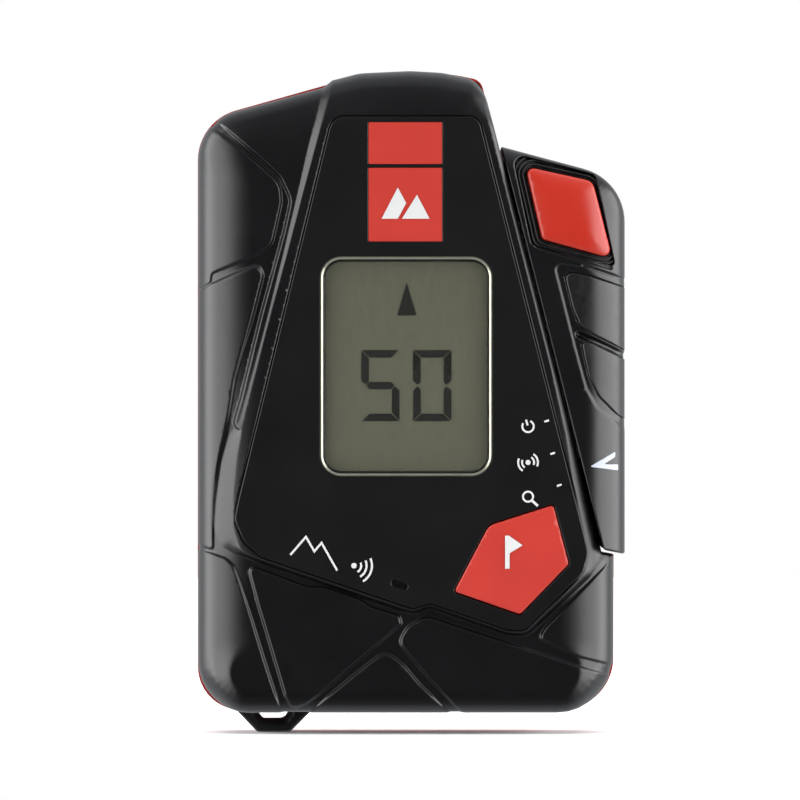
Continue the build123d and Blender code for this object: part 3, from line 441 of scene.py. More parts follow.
def plastic(name, colour, rough, grain=9000.0, depth=12e-6, worn=None, shift=0.12, specular=0.5):
    """Moulded plastic: fine spark-eroded grain, slow colour drift, polished or lighter corners."""
    m = Nodes(name)
    drift = m.noise(90.0, 4.0, 0.6)
    fine = m.noise(grain, 2.0, 0.6)
    base = m.ramp(drift, (0.3, shaded(colour, 1 - shift)), (0.7, shaded(colour, 1 + shift)))
    if worn:
        edge = m.span(m.tree.nodes.new("ShaderNodeNewGeometry").outputs["Pointiness"], 0.53, 0.62, 0.0, 1.0)
        patchy = m.span(m.noise(700.0, 3.0, 0.7), 0.45, 0.62, 0.0, 1.0)
        base = m.blend(m.times(m.times(edge, patchy), 0.5), base, worn)
    m.colour(base)
    sheen = m.plus(m.times(drift, 0.6), m.times(fine, 0.4))
    m.roughness(m.span(sheen, 0.3, 0.7, rough - 0.03, rough + 0.03))
    m.set(Specular_IOR_Level=specular)
    m.bump(fine, depth)
    return m.material


def metal(name, colour, rough, stretch=(1, 1, 1)):
    """Metal with fine drawn or tumbled marks."""
    m = Nodes(name)
    marks = m.noise(6000.0, 4.0, 0.6, stretch)
    tarnish = m.noise(300.0, 4.0, 0.6)
    m.colour(m.ramp(tarnish, (0.3, shaded(colour, 0.78)), (0.7, colour)))
    m.roughness(m.span(marks, 0.3, 0.7, rough - 0.08, rough + 0.1))
    m.set(Metallic=1.0)
    m.bump(marks, 4e-6)
    return m.material


def rubber(name, colour, rough):
    """Soft moulded rubber with a dusty bloom."""
    m = Nodes(name)
    bloom = m.noise(450.0, 5.0, 0.65)
    fine = m.noise(7000.0, 2.0, 0.6)
    m.colour(m.ramp(bloom, (0.4, colour), (0.8, shaded(colour, 1.6, 0.004))))
    m.roughness(m.span(bloom, 0.3, 0.7, rough - 0.05, rough + 0.08))
    m.bump(fine, 10e-6)
    return m.material


def display_material():
    """Liquid crystal field: olive grey, with painted shade darkening it towards its corners and painted
    shading that makes it lightest at mid height, and a fine cell pattern.
    """
    m = Nodes("display_olive")
    split = m.tree.nodes.new("ShaderNodeSeparateXYZ")
    m.link(m.place, split.inputs[0])
    # Painted shade: the field darkens towards its edges and corners, where the window's walls would shade
    # it
    corner = None
    for axis, middle, start, end in (("X", -0.0009, 0.0085, 0.0145), ("Z", 0.0614, 0.0125, 0.0185)):
        away = m.math("ABSOLUTE", m.plus(split.outputs[axis], -middle))
        painted_shade = m.span(away, start, end, 0.0, 1.0)
        painted_shade = m.times(painted_shade, painted_shade)
        corner = m.plus(corner, painted_shade) if corner else painted_shade
    # Painted shading: the olive is lightest at mid height and darkest at the bottom
    height = m.span(split.outputs["Z"], 0.044, 0.079, 1.0, 0.0)
    olive = m.ramp(
        height,
        (0.0, (0.070, 0.072, 0.044, 1)), (0.5, (0.072, 0.074, 0.046, 1)), (1.0, (0.068, 0.070, 0.043, 1)),
    )
    # The painted corner shade is blended in here
    base = m.blend(m.times(corner, 0.16), olive, (0.03, 0.03, 0.02, 1.0))
    cells = m.noise(2500.0, 2.0, 0.5, (1, 1, 0.2))
    m.colour(m.blend(m.span(cells, 0.35, 0.65, 0.0, 0.10), base, (0.0, 0.0, 0.0, 1.0)))
    m.roughness(m.span(cells, 0.3, 0.7, 0.42, 0.55))
    m.bump(m.noise(5000.0, 2.0, 0.5), 3e-6)
    return m.material


def lens_material():
    """Clear hard-coated window: nearly all of the light goes through."""
    m = Nodes("lens_clear")
    smear = m.noise(120.0, 4.0, 0.6)
    m.colour(m.ramp(smear, (0.3, (0.10, 0.10, 0.085, 1)), (0.7, (0.12, 0.12, 0.10, 1))))
    m.roughness(m.span(smear, 0.3, 0.7, 0.04, 0.09))
    m.set(Alpha=0.05, Specular_IOR_Level=0.5)
    return m.material


def coil_material():
    """Enamelled copper wire, wound."""
    m = Nodes("copper_wire")
    tone = m.noise(900.0, 3.0, 0.6)
    m.colour(m.ramp(tone, (0.3, (0.36, 0.10, 0.035, 1)), (0.7, (0.62, 0.22, 0.08, 1))))
    m.set(Metallic=0.85, Roughness=0.28)
    turns = m.tree.nodes.new("ShaderNodeTexWave")
    turns.bands_direction = "DIAGONAL"
    turns.inputs["Scale"].default_value = 700.0
    m.link(m.place, turns.inputs["Vector"])
    m.bump(turns.outputs["Fac"], 50e-6)
    return m.material


def board_material():
    """Solder-masked board with faint tracks."""
    m = Nodes("board_green")
    tracks = m.tree.nodes.new("ShaderNodeTexVoronoi")
    tracks.feature = "DISTANCE_TO_EDGE"
    tracks.inputs["Scale"].default_value = 350.0
    m.link(m.place, tracks.inputs["Vector"])
    line = m.span(tracks.outputs["Distance"], 0.02, 0.06, 1.0, 0.0)
    m.colour(m.blend(line, (0.004, 0.045, 0.016, 1), (0.015, 0.11, 0.04, 1)))
    m.set(Roughness=0.35)
    m.bump(line, 20e-6)
    return m.material


def case_plastic(name, colour, rough, worn, **more):
    """Plastic of the case's mouldings, with its coarser grain."""
    return plastic(name, colour, rough, 6500.0, 16e-6, worn, **more)


CASE_BLACK = (0.0022, 0.0022, 0.0028, 1)
BLACK_WORN = (0.012, 0.012, 0.014, 1)
RED_WORN = (0.36, 0.02, 0.012, 1)

MATERIALS = {
    "case_black": case_plastic("case_black", CASE_BLACK, 0.31, BLACK_WORN, specular=0.48),
    "slider_black": case_plastic("slider_black", CASE_BLACK, 0.31, BLACK_WORN, specular=0.48),
    "case_red": case_plastic("case_red", (0.30, 0.010, 0.005, 1), 0.40, RED_WORN, shift=0.02),
    "door_red": case_plastic("door_red", (0.29, 0.009, 0.005, 1), 0.40, RED_WORN, shift=0.02),
    "facia_black": plastic("facia_black", (0.0026, 0.0026, 0.0030, 1), 0.32, 11000.0, 10e-6),
    "plate_red": plastic("plate_red", (0.38, 0.019, 0.010, 1), 0.50, depth=6e-6, shift=0.05),
    "key_red": plastic("key_red", (0.39, 0.020, 0.011, 1), 0.46, depth=8e-6, shift=0.05),
    "button_red": plastic("button_red", (0.36, 0.016, 0.006, 1), 0.36, 6000.0, 3e-6, shift=0.06),
    "print_white": plastic("print_white", (0.52, 0.52, 0.52, 1), 0.50, depth=4e-6, shift=0.03),
    "pointer_pale": plastic("pointer_pale", (0.42, 0.45, 0.52, 1), 0.45, depth=4e-6, shift=0.03),
    "bezel_pale": metal("bezel_pale", (0.50, 0.49, 0.40, 1), 0.34),
    "segment_black": plastic("segment_black", (0.004, 0.004, 0.0035, 1), 0.40, depth=2e-6, shift=0.1),
    "led_smoke": plastic("led_smoke", (0.002, 0.002, 0.002, 1), 0.14, 4000.0, 2e-6, shift=0.2),
    "seal_rubber": rubber("seal_rubber", (0.006, 0.006, 0.0065, 1), 0.42),
    "grip_rubber": rubber("grip_rubber", (0.0030, 0.0030, 0.0035, 1), 0.36),
    "zebra_rubber": rubber("zebra_rubber", (0.03, 0.03, 0.03, 1), 0.6),
    "lock_dark": plastic("lock_dark", (0.012, 0.012, 0.013, 1), 0.38, worn=(0.05, 0.05, 0.05, 1)),
    "frame_plastic": plastic("frame_plastic", (0.006, 0.006, 0.0065, 1), 0.34),
    "runner_plastic": plastic("runner_plastic", (0.55, 0.55, 0.52, 1), 0.4),
    "led_body": plastic("led_body", (0.7, 0.7, 0.66, 1), 0.25),
    "chip_black": plastic("chip_black", (0.012, 0.012, 0.012, 1), 0.5),
    "buzzer_black": plastic("buzzer_black", (0.01, 0.01, 0.011, 1), 0.4),
    "ferrite": plastic("ferrite", (0.03, 0.028, 0.027, 1), 0.6, 3000.0, 30e-6),
    "battery_wrap": plastic("battery_wrap", (0.03, 0.05, 0.16, 1), 0.22, 2000.0, 4e-6),
    "brass": metal("brass", (0.72, 0.50, 0.20, 1), 0.3),
    "screw_steel": metal("screw_steel", (0.34, 0.34, 0.35, 1), 0.32),
    "switch_metal": metal("switch_metal", (0.60, 0.60, 0.60, 1), 0.28),
    "tin_can": metal("tin_can", (0.66, 0.66, 0.64, 1), 0.33, (1, 1, 6)),
    "spring_steel": metal("spring_steel", (0.62, 0.62, 0.62, 1), 0.24),
    "magnet": metal("magnet", (0.70, 0.70, 0.72, 1), 0.18),
    "display_olive": display_material(),
    "lens_clear": lens_material(),
    "copper_wire": coil_material(),
    "board_green": board_material(),
}

for node in NODES.values():
    for place in node.material_slots:
        place.material = MATERIALS[place.material.name.split(".")[0]]

# ---------------------------------------------------------------- front half of the case
BLOCK = rounded([
    (-35.7, 102.35, 8.7), (-13.4, 108.35, 1.5), (-8.6, 109.6, 8), (-0.3, 110.0, 14), (5.0, 109.7, 10),
    (10.2, 108.6, 5), (16, 105.8, 2), (33.75, 101, 3), (33.75, 3.6, 9.5), (-35.7, 3.6, 8.5),
], steps=8)
FLANK = rounded([
    slide_point(-30, -FLANK_GAP), (*slide_point(70.2, -FLANK_GAP), 0.4), (45, 27.9), (45, 130),
])
PLATEAU_TOP = rounded([
    (-12.8, 114), (-13.4, 107.6, 3), (-15.0, 102, 6), (-18.2, 90.2, 9), (-20.85, 80.0, 9),
    (-24.8, 65.2, 9), (-28.2, 52.0, 6), (-29.2, 46, 5), (-29.75, 40, 5), (-29.75, 34.6, 3),
    (-28.6, 30.6, 2.0), (-24.0, 28.75, 2), (-2.0, 21.25, 2), (0.3, 20.6, 2.0), (3.0, 21.65, 2.0),
    (15.9, 17.1, 3), (19.0, 16.9, 2.5), (29.0, 26.6, 2.5), (29.65, 30.4, 4), (28.7, 35, 6),
    (27.0, 42, 8), slide_point(50.0, -1.3), slide_point(38.0, -0.95), slide_point(-6.5, -0.95),
    (12.6, 114),
])
PLATEAU_FOOT = rounded([
    (-14.2, 114), (-14.8, 108.0, 3), (-15.9, 102.8, 3), (-17.1, 98.4, 5), (-19.0, 90.0, 9),
    (-21.35, 80.1, 9), (-25.15, 65.1, 9), (-28.6, 52.4, 4), (-30.3, 50.0, 3), (-31.7, 45.4, 5),
    (-32.6, 39, 5), (-32.9, 34.4, 3), (-31.9, 31.4, 2.0), (-29.6, 30.15, 1.0), (-24.2, 28.2, 2),
    (-2.1, 20.7, 2), (0.3, 20.0, 2.4), (3.0, 21.1, 2.0), (15.8, 16.6, 3.4), (19.3, 16.35, 2.8),
    (29.9, 26.4, 1.5), (32.4, 29.6, 0.6), slide_point(69.0, 0.1), slide_point(-6.5, 0.1), (14.2, 114),
])
LEDGE = rounded([
    (-36, 105.2), (-32.0, 101.8), (-25.2, 96.0, 4), (-22.0, 92.95, 3.5), (-20.2, 89.2, 3.0),
    (-21.35, 84.0, 5), (-22.6, 79.4, 4), (-25.1, 70.2, 9), (-26.4, 65.0, 9), (-28.6, 56.0, 6),
    (-30.0, 51.2, 1.5), (-27.0, 50), (-6, 80), (0, 120), (-36, 120),
])
LEFT_PAD_TOP = rounded([
    (-42, 73.2), (-36, 73.8), (-29.8, 76.6, 3), (-26.0, 78.0, 1.2), (-24.95, 76.6, 1.2),
    (-26.6, 70.2, 9), (-28.2, 64.8, 9), (-29.8, 59, 5), (-30.6, 54, 4), (-32.0, 48, 6), (-33.25, 42, 4),
    (-33.55, 36, 4), (-33.3, 31.0, 0.4), (-36, 31.8), (-42, 31.8),
])
LEFT_PAD_FOOT = rounded([
    (-42, 73.6), (-36, 74.2), (-29.9, 77.0, 3), (-25.3, 78.8, 1.4), (-24.5, 76.8, 1.4),
    (-26.15, 70.2, 9), (-27.75, 64.8, 9), (-29.3, 59.6, 5), (-30.15, 54, 4), (-30.6, 50, 5),
    (-31.7, 45.4, 5), (-32.55, 39, 5), (-32.85, 34.4, 3), (-32.95, 30.7, 0.4), (-36, 31.4), (-42, 31.4),
])
UPPER_LEFT_PAD = rounded([
    (-34.4, 102.4), (-33.0, 101.2), (-25.2, 95.0, 5), (-21.9, 92.0, 3.6), (-21.6, 88.8, 3),
    (-23.2, 81.7, 2.6), (-25.4, 80.1, 2), (-30.0, 78.2, 3), (-33.3, 76.9, 0.8), (-33.5, 75.3, 0.5),
    (-37, 73.7), (-42, 73.7), (-42, 104),
])
CORNER_PAD = rounded([
    (-33.6, 30.35, 0.5), (-31.0, 29.5, 2), (-29.6, 28.2, 2.2), (-28.5, 25.2, 3), (-26.5, 19, 9),
    (-24.4, 12.2, 9), (-21.4, 3), (-20.4, -1), (-42, -1), (-42, 31.3), (-36, 30.9),
])
MARKED_PAD = rounded([
    (-27.5, 28.5, 0.9), (-22, 26.5, 4), (-17.3, 24.7, 3), (-14.5, 24.75, 2), (-8.8, 22.8, 2),
    (-7.0, 21.5, 2.5), (-1.9, 19.9, 1.0), (-1.6, 18.4, 0.6), (-5.0, 15.5, 9), (-10.0, 11.3, 9),
    (-15.5, 6.5, 4), (-17.6, 5.0, 2), (-20.0, 4.1, 1.2), (-21.1, 6.3, 3), (-23.0, 12.7, 9),
    (-24.3, 17.1, 9), (-25.7, 21.7, 9),
])
FOOT_PAD = rounded([
    (-4.4, 14.1, 2.2), (-9.3, 10.3, 9), (-14.6, 5.9, 6), (-17.6, 3.2), (-19, -2), (12, -2), (6.2, 3.8),
    (1.4, 8.5, 6), (-1.2, 11.6, 3),
])
RIGHT_FOOT_PAD = rounded([
    (-2.3, 15.4, 1.8), (-0.8, 18.0, 3.0), (2.4, 19.9, 2.6), (10.0, 17.35, 9), (20.0, 14.15, 9),
    (27.5, 11.6, 9), (33.2, 9.9), (42, 7.5), (42, -3), (14, -3), (8.0, 3.9), (3.0, 9.1, 9),
])
RIGHT_PAD = rounded([
    (21.1, 16.0, 0.9), (22.3, 18.0, 4), (27.5, 23.25, 9), (32.3, 28.1, 3), (33.2, 30), (42, 34),
    (42, 9.5), (33.4, 11.5), (27.6, 13.0, 9),
])
PADS = (UPPER_LEFT_PAD, CORNER_PAD, MARKED_PAD, FOOT_PAD, RIGHT_FOOT_PAD, RIGHT_PAD)

FACIA_EDGE = rounded([
    (-13.15, 102.95, 2.6), (-28.75, 39.4, 5), (-29.45, 35.9, 2.6), (-27.9, 32.2, 3.5),
    (-25.2, 29.75, 2.5), (-1.6, 21.7, 2), (0.3, 21.1, 1.6), (3.0, 22.05, 1.8), (16.0, 17.6, 2.6),
    (18.8, 17.5, 2.2), (28.5, 27.1, 2.2), (29.4, 30.3, 3.0), (28.4, 34.6, 8), (11.1, 102.95, 2.2),
], steps=8)
KEY_EDGE = rounded([
    (23.6, 38.3, 0.5), (26.2, 28.5, 0.6), (18.1, 20.1, 0.6), (7.1, 23.9, 0.5), (12.9, 34.9, 2.4),
])
KEY_HOLE = rounded([
    (23.75, 38.55, 0.6), (26.45, 28.45, 0.7), (18.15, 19.8, 0.7), (6.8, 23.75, 0.6), (12.75, 35.1, 2.5),
])
KEY_MIDDLE = (17.1, 30.5)
WINDOW_MIDDLE = (-0.9, 61.4)
WINDOW_WIDTH = 28.6
WINDOW_HEIGHT = 36.6
WINDOW_ROUND = 3.5
WINDOW_LEDGE = 0.75
SLOT_MIDDLE = (-2.0, 25.0)
SLOT_TURN = -20.0
SCREW_SPOTS = [(-29.5, 13.5), (27.3, 11.5), (-8.0, 103.5), (8.3, 101.5)]
SCREW_HOLE_R = 1.7
BOSS_R = 2.6


def window_edge(grow):
    """The display window's outline, made larger all round."""
    return box_points(
        WINDOW_MIDDLE, WINDOW_WIDTH + 2 * grow, WINDOW_HEIGHT + 2 * grow, WINDOW_ROUND + grow
    )


WINDOW_EDGE = window_edge(0.0)
LEDGE_EDGE = window_edge(-WINDOW_LEDGE)
SLOT_EDGE = box_points(SLOT_MIDDLE, 2.75, 1.1, 0.5, SLOT_TURN)

# Rounding of the block's edge at its sides, top and foot, and how far its shoulder blends into the face
SIDE_ROUND = 5.4
TOP_ROUND = 3.4
FOOT_ROUND = 2.2
SIDE_BLEND = 2.2
FOOT_BLEND = 0.7
SHOULDER_LEAN = math.radians(33.0)
RIM_SHARE = 0.62

GROOVE_FLOOR = -0.55
PAD_BEVEL = 0.2
LEDGE_RISE = 0.76
RING_MIDDLE = (-16.8, 15.0)
RING_DEPTH = 0.05


def round_edge(d, depth, r, soft):
    """Distance to a block whose outline distance is d, with a sloping shoulder r wide up to its face."""
    shoulder = (d + r) * math.sin(SHOULDER_LEAN) + depth * math.cos(SHOULDER_LEAN)
    return smooth_max(smooth_max(depth, shoulder, soft), d, RIM_SHARE * r)


def shell_relief(x, z, from_edge):
    """Height of the pads, grooves, ledge and raised middle over the front of the block."""
    pads = soft_step(loft(x, z, LEFT_PAD_FOOT, LEFT_PAD_TOP))
    for outline in PADS:
        pads = np.maximum(pads, soft_step(-outline_distance(x, z, outline) / PAD_BEVEL))
    ledge = soft_step(-outline_distance(x, z, LEDGE) / PAD_BEVEL)
    pads = np.maximum(pads, ledge)
    depth = mix(0.35, 1.0, fade(from_edge, 0.0, 3.5))
    low = GROOVE_FLOOR * depth * (1 - pads)
    ring = np.hypot(x - RING_MIDDLE[0], z - RING_MIDDLE[1])
    low = low - RING_DEPTH * (fade(ring, 2.8, 3.5) - fade(ring, 4.1, 4.9))
    low = low + LEDGE_RISE * ledge * soft_step((101 - z) / 30, 0.1)
    high = RAISE - 0.15 * fade(z, 106, 110)
    return mix(low, high, soft_step(loft(x, z, PLATEAU_FOOT, PLATEAU_TOP), 0.12))


def shell_plan(x, z):
    """What the front half of the case looks like from the front, as distances and heights."""
    p = {"d": outline_distance(x, z, BLOCK), "cut": outline_distance(x, z, FLANK)}
    upper = fade(0.35 * (x + 28) + (z - 92), -2, 9)
    foot = fade(np.minimum(x + 36, 34 - x), 1.5, 8.0) * (1 - fade(z, 9, 16))
    p["r"] = mix(mix(SIDE_ROUND, TOP_ROUND, upper), FOOT_ROUND, foot)
    p["soft"] = mix(SIDE_BLEND, FOOT_BLEND, foot)
    p["h"] = shell_relief(x, z, -p["d"])
    p["facia"] = outline_distance(x, z, FACIA_EDGE)
    p["window"] = outline_distance(x, z, WINDOW_EDGE)
    p["ledge"] = outline_distance(x, z, LEDGE_EDGE)
    p["key"] = outline_distance(x, z, KEY_EDGE)
    p["slot"] = outline_distance(x, z, SLOT_EDGE)
    p["screw"] = np.minimum.reduce([np.hypot(x - sx, z - sz) for sx, sz in SCREW_SPOTS])
    p["corner"] = mix(0.3, 2.4, fade(z, 100.5, 106))
    return p


def shell_solid(p, y):
    """Front half: a hollow block with relief, cut by the slider's flank, with openings and bosses."""
    skin = round_edge(p["d"], FRONT_Y - y, p["r"], p["soft"])
    outer = smooth_max(skin - p["h"], -p["cut"], p["corner"])
    body = smooth_max(outer, -np.maximum(p["facia"] - 0.22, y - FACIA_FLOOR_Y), 0.24)
    body = smooth_max(body, -np.maximum(p["window"] - 0.1, y - WINDOW_FLOOR_Y), 0.05)
    for opening, gap in (("ledge", 0.0), ("key", 0.25), ("slot", 0.05)):
        body = smooth_max(body, -np.maximum(p[opening] - gap, y - OPENING_BACK_Y), 0.1)
    hollow = smooth_max(skin, -p["cut"], 0.5) + CASE_WALL
    body = smooth_max(body, -hollow, 0.2)
    boss = np.maximum(p["screw"] - BOSS_R, outer + 1.0)
    body = smooth_min(body, boss, 0.3)
    body = smooth_max(body, -np.maximum(p["screw"] - SCREW_HOLE_R, SCREW_SEAT_Y - y), 0.1)
    return smooth_max(body, y - PARTING_Y, 0.15)


front_skin = sculpt(
    "front_skin", (-35.9, -13.3, 3.4), (33.9, PARTING_Y, 111.0), 0.15,
    shell_plan, shell_solid, 0.006, {"h": 0.09},
)
dress(front_skin, "casing", "case_black", "front_shell")

# ---------------------------------------------------------------- facia
LABEL_MIDDLE_X = -1.05
LABEL_WIDTH = 12.4
LABEL_LEVELS = [(95.1, 102.1), (82.2, 94.5)]

facia_holes = [window_edge(0.05), KEY_HOLE, box_points(SLOT_MIDDLE, 2.85, 1.2, 0.55, SLOT_TURN)]
for low, high in LABEL_LEVELS:
    facia_holes.append(box_points((LABEL_MIDDLE_X, (low + high) / 2), LABEL_WIDTH, high - low + 0.1, 0.25))
facia = plate("facia", FACIA_EDGE, facia_holes, FACIA_FRONT_Y, FACIA_FLOOR_Y - 0.02, 0.09)
dress(facia, "casing", "facia_black", "front_panel")

# ---------------------------------------------------------------- slider
SLIDER_BLOCK = rounded([(-20, 107.5), (35.7, 92.6, 9.3), (35.7, -20), (-20, -20)], steps=12)
SLIDER_BACK_ROUND = 4.5
BUTTON_EDGE = rounded([(18.95, 94.75, 1.0), (30.2, 92.3, 1.8), (33.55, 79.35, 1.1), (21.75, 82.6, 0.9)])
SEAL_EDGE = rounded([(16.75, 96.95, 1.4), (30.6, 93.4, 1.0), (34.0, 78.0, 0.6), (20.0, 81.75, 1.0)])
GRIP_ZONE = rounded([
    (23.5, 78.9, 1.2), (30, 77.9), (45, 73.5), (45, 44), (36, 50.6), (30.9, 54.4, 3), (29.0, 57.6, 3),
    (27.1, 64.6, 8), (25.1, 72.6, 9),
])
UPPER_GRIP = rounded([
    (25.3, 77.4, 1.1), (30, 76.4), (45, 71.6), (45, 59.8), (30.5, 66.6, 1.5), (28.1, 68.2, 2.2),
    (26.9, 71.0, 4),
])
LOWER_GRIP = rounded([
    (28.3, 65.6, 0.9), (30, 65.3), (45, 58.2), (45, 46.2), (34.0, 53.7, 3), (31.2, 56.4, 3),
    (29.6, 59.6, 4), (28.9, 62.6, 4),
])
CHEVRON = rounded([
    (34.0, 47.2), (29.7, 44.68), (34.5, 44.05), (34.5, 45.05), (32.05, 45.08), (34.0, 46.3),
], 0.05, steps=2)

# Cut lines, each with its half width and depth
GROOVE_LINES = [
    ([(28.6, 78.25), (45, 72.8)], 0.16, 0.30),
    ([(29.2, 76.55), (45, 71.4)], 0.13, 0.22),
    ([(27.9, 66.75), (45, 58.9)], 0.42, 0.75),
    ([(20.9, 81.5), (33.2, 77.85)], 0.22, 0.5),
]
GRIP_ZONE_DEPTH = 0.24
GRIP_SLOT = 0.95
SEAL_FLOOR_Y = -8.3
STEM = (26.5, 87.0)
STEM_R = 1.9
RUNNER_SCREWS_U = (23.0, 38.0)
SEAT_Y = -7.15
SEAL_PITCH = 0.7


def slider_plan(x, z):
    """What the slider looks like from the front, as distances and heights."""
    u, v = slide_axes(x, z)
    p = {"d": outline_distance(x, z, SLIDER_BLOCK), "u": u, "v": v, "x": x, "z": z}
    p["r"] = mix(7.0, 4.0, fade(0.26 * (x - 30) + z, 86, 95))
    foot_slope = (30.0 - 30.8) / (35.7 - 32.0)
    p["foot"] = (30.8 + foot_slope * (x - 32.0)) - z
    h = -GRIP_ZONE_DEPTH * soft_step(-outline_distance(x, z, GRIP_ZONE) / 0.28)
    for path, half, depth in GROOVE_LINES:
        h = np.minimum(h, h - depth * soft_step((half + 0.12 - path_distance(x, z, path)) / 0.24))
    p["h"] = h * mix(0.25, 1.0, fade(-p["d"], 0.2, 2.6))
    p["pads"] = np.minimum(outline_distance(x, z, UPPER_GRIP), outline_distance(x, z, LOWER_GRIP))
    p["seal"] = outline_distance(x, z, SEAL_EDGE)
    p["button"] = outline_distance(x, z, BUTTON_EDGE)
    p["stem"] = np.hypot(x - STEM[0], z - STEM[1])
    p["chevron"] = outline_distance(x, z, CHEVRON)
    return p


def slider_skin(p, y):
    """Slider without relief, cut at neither flank nor foot."""
    front = smooth_max(p["d"], SLIDER_FRONT_Y - y, p["r"])
    back = smooth_max(p["d"], y + SLIDER_FRONT_Y, SLIDER_BACK_ROUND)
    return np.maximum(front, back)


def slider_solid(p, y):
    """Slider: a hollow moulding with bosses for the runner's screws and a seat for the button's spring."""
    skin = slider_skin(p, y)
    body = skin - p["h"]
    body = smooth_max(body, -np.maximum(p["pads"] - 0.05, -(skin + GRIP_SLOT)), 0.1)
    body = smooth_max(body, -np.maximum(p["seal"], y - SEAL_FLOOR_Y), 0.25)
    body = smooth_max(body, -(skin + SLIDER_WALL), 0.3)
    for u in RUNNER_SCREWS_U:
        from_screw = np.hypot(p["u"] - u, y)
        boss = np.maximum(np.maximum(from_screw - 2.2, 5.6 - p["v"]), skin + 0.8)
        boss = np.maximum(boss, -np.maximum(from_screw - 0.8, p["v"] - 10.1))
        body = smooth_min(body, boss, 0.2)
    across = np.maximum(23.0 - p["x"], np.abs(p["z"] - STEM[1]) - 3.0)
    seat = np.maximum(np.maximum(across, skin + 0.8), np.abs(y - SEAT_Y) - 0.25)
    seat = np.maximum(seat, 2.3 - p["stem"])
    body = np.minimum(body, seat)
    body = smooth_max(body, -p["v"], 0.3)
    return smooth_max(body, p["foot"], 0.45)


def grip_solid(p, y):
    """Two soft pads let into the slider, with edges that sharpen towards the side."""
    skin = slider_skin(p, y)
    edge = mix(0.06, 0.32, fade(-p["d"], 0.3, 2.4))
    body = smooth_max(skin + 0.02, p["pads"], edge)
    return smooth_max(body, -(skin + 0.9), 0.1)


def seal_solid(p, y):
    """Seal round the button: ridges one inside the other on a sunk floor."""
    skin = slider_skin(p, y)
    ridges = 0.5 - 0.28 * np.cos(p["button"] * 2 * math.pi / SEAL_PITCH)
    body = smooth_max(skin + ridges, p["seal"] + 0.04, 0.15)
    body = smooth_max(body, 0.12 - p["button"], 0.1)
    return smooth_max(body, -(skin + 2.4), 0.1)


def button_solid(p, y):
    """Domed cap on a flange and a stem."""
    skin = slider_skin(p, y)
    dome = 0.25 + 0.55 * (1 - np.exp(np.minimum(p["button"], 0.0) / 2.2))
    cap = smooth_max(skin - dome, p["button"], 0.45)
    cap = np.maximum(cap, -(skin + 2.6))
    flange = np.maximum(np.maximum(p["button"] - 0.7, -(skin + 3.2)), skin + 2.55)
    stem = np.maximum(p["stem"] - STEM_R, np.maximum(y + 6.2, -11.0 - y))
    return smooth_min(smooth_min(cap, flange, 0.1), stem, 0.2)


def chevron_solid(p, y):
    """Pale inlay, a hair proud of the slider."""
    skin = slider_skin(p, y)
    return np.maximum(np.maximum(skin - 0.05, -(skin + 0.12)), p["chevron"])


slider = sculpt(
    "slider_body_skin", (14.4, -12.8, 29.6), (35.9, 12.8, 98.9), 0.17,
    slider_plan, slider_solid, 0.005, {"h": 0.11},
)
dress(slider, "slider_body", "slider_black", "mode_slider")

grips = sculpt(
    "grip_pads", (24.6, -12.8, 44.0), (35.9, 12.8, 78.2), 0.18,
    slider_plan, grip_solid, 0.008,
)
dress(grips, "slider_body", "grip_rubber", "slider_grips")

seal = sculpt(
    "button_seal", (16.2, -12.9, 77.0), (34.6, -8.0, 97.4), 0.13,
    slider_plan, seal_solid, 0.1,
)
dress(seal, "slider_body", "seal_rubber", "button_bezel")

button = sculpt(
    "button_cap", (18.0, -13.6, 78.4), (34.6, -6.0, 95.8), 0.15,
    slider_plan, button_solid, 0.1,
)
dress(button, "button_body", "button_red", "lock_button")

chevron = sculpt(
    "pointer_mark", (29.4, -12.8, 43.8), (34.8, -6.0, 47.6), 0.06,
    slider_plan, chevron_solid, 0.3,
)
dress(chevron, "slider_body", "pointer_pale", "mode_pointer")

# ---------------------------------------------------------------- marking key
KEY_FRONT_Y = -13.4
DISH_DEPTH = 0.07


def key_plan(x, z):
    from_middle = np.hypot(x - KEY_MIDDLE[0], z - KEY_MIDDLE[1])
    dish = DISH_DEPTH * fade(from_middle, 3.2, 4.4) * (1 - fade(from_middle, 4.4, 7.8)) + 0.05
    return {"key": outline_distance(x, z, KEY_EDGE), "dish": dish}


def key_solid(p, y):
    """Five-sided cap with a faint ring in its face, on a flange that holds it behind the case."""
    cap = smooth_max(p["key"], KEY_FRONT_Y + p["dish"] - y, 0.25)
    cap = np.maximum(cap, y + 10.05)
    flange = np.maximum(p["key"] - 1.0, np.abs(y + 9.7) - 0.4)
    return smooth_min(cap, flange, 0.1)


key = sculpt(
    "key_cap", (5.5, -13.5, 18.6), (27.8, -9.2, 39.8), 0.2,
    key_plan, key_solid, 0.1,
)
dress(key, "key_body", "key_red", "marking_key")

# ---------------------------------------------------------------- lanyard loop
LOOP_EDGE = rounded([(-32.6, 7.0), (-25.9, 0.0, 0.8), (-20.4, 0.0, 0.8), (-16.2, 4.2, 0.6), (-16.2, 7.0)])
LOOP_HOLE = rounded([(-26.3, 4.0, 0.4), (-25.0, 2.35, 0.5), (-21.5, 2.35, 0.5), (-20.4, 4.0, 0.4)])
LOOP_MIDDLE_Y = 1.4
LOOP_HALF_DEPTH = 2.0


def loop_plan(x, z):
    return {
        "loop": outline_distance(x, z, LOOP_EDGE),
        "hole": outline_distance(x, z, LOOP_HOLE),
        "case": outline_distance(x, z, BLOCK),
    }


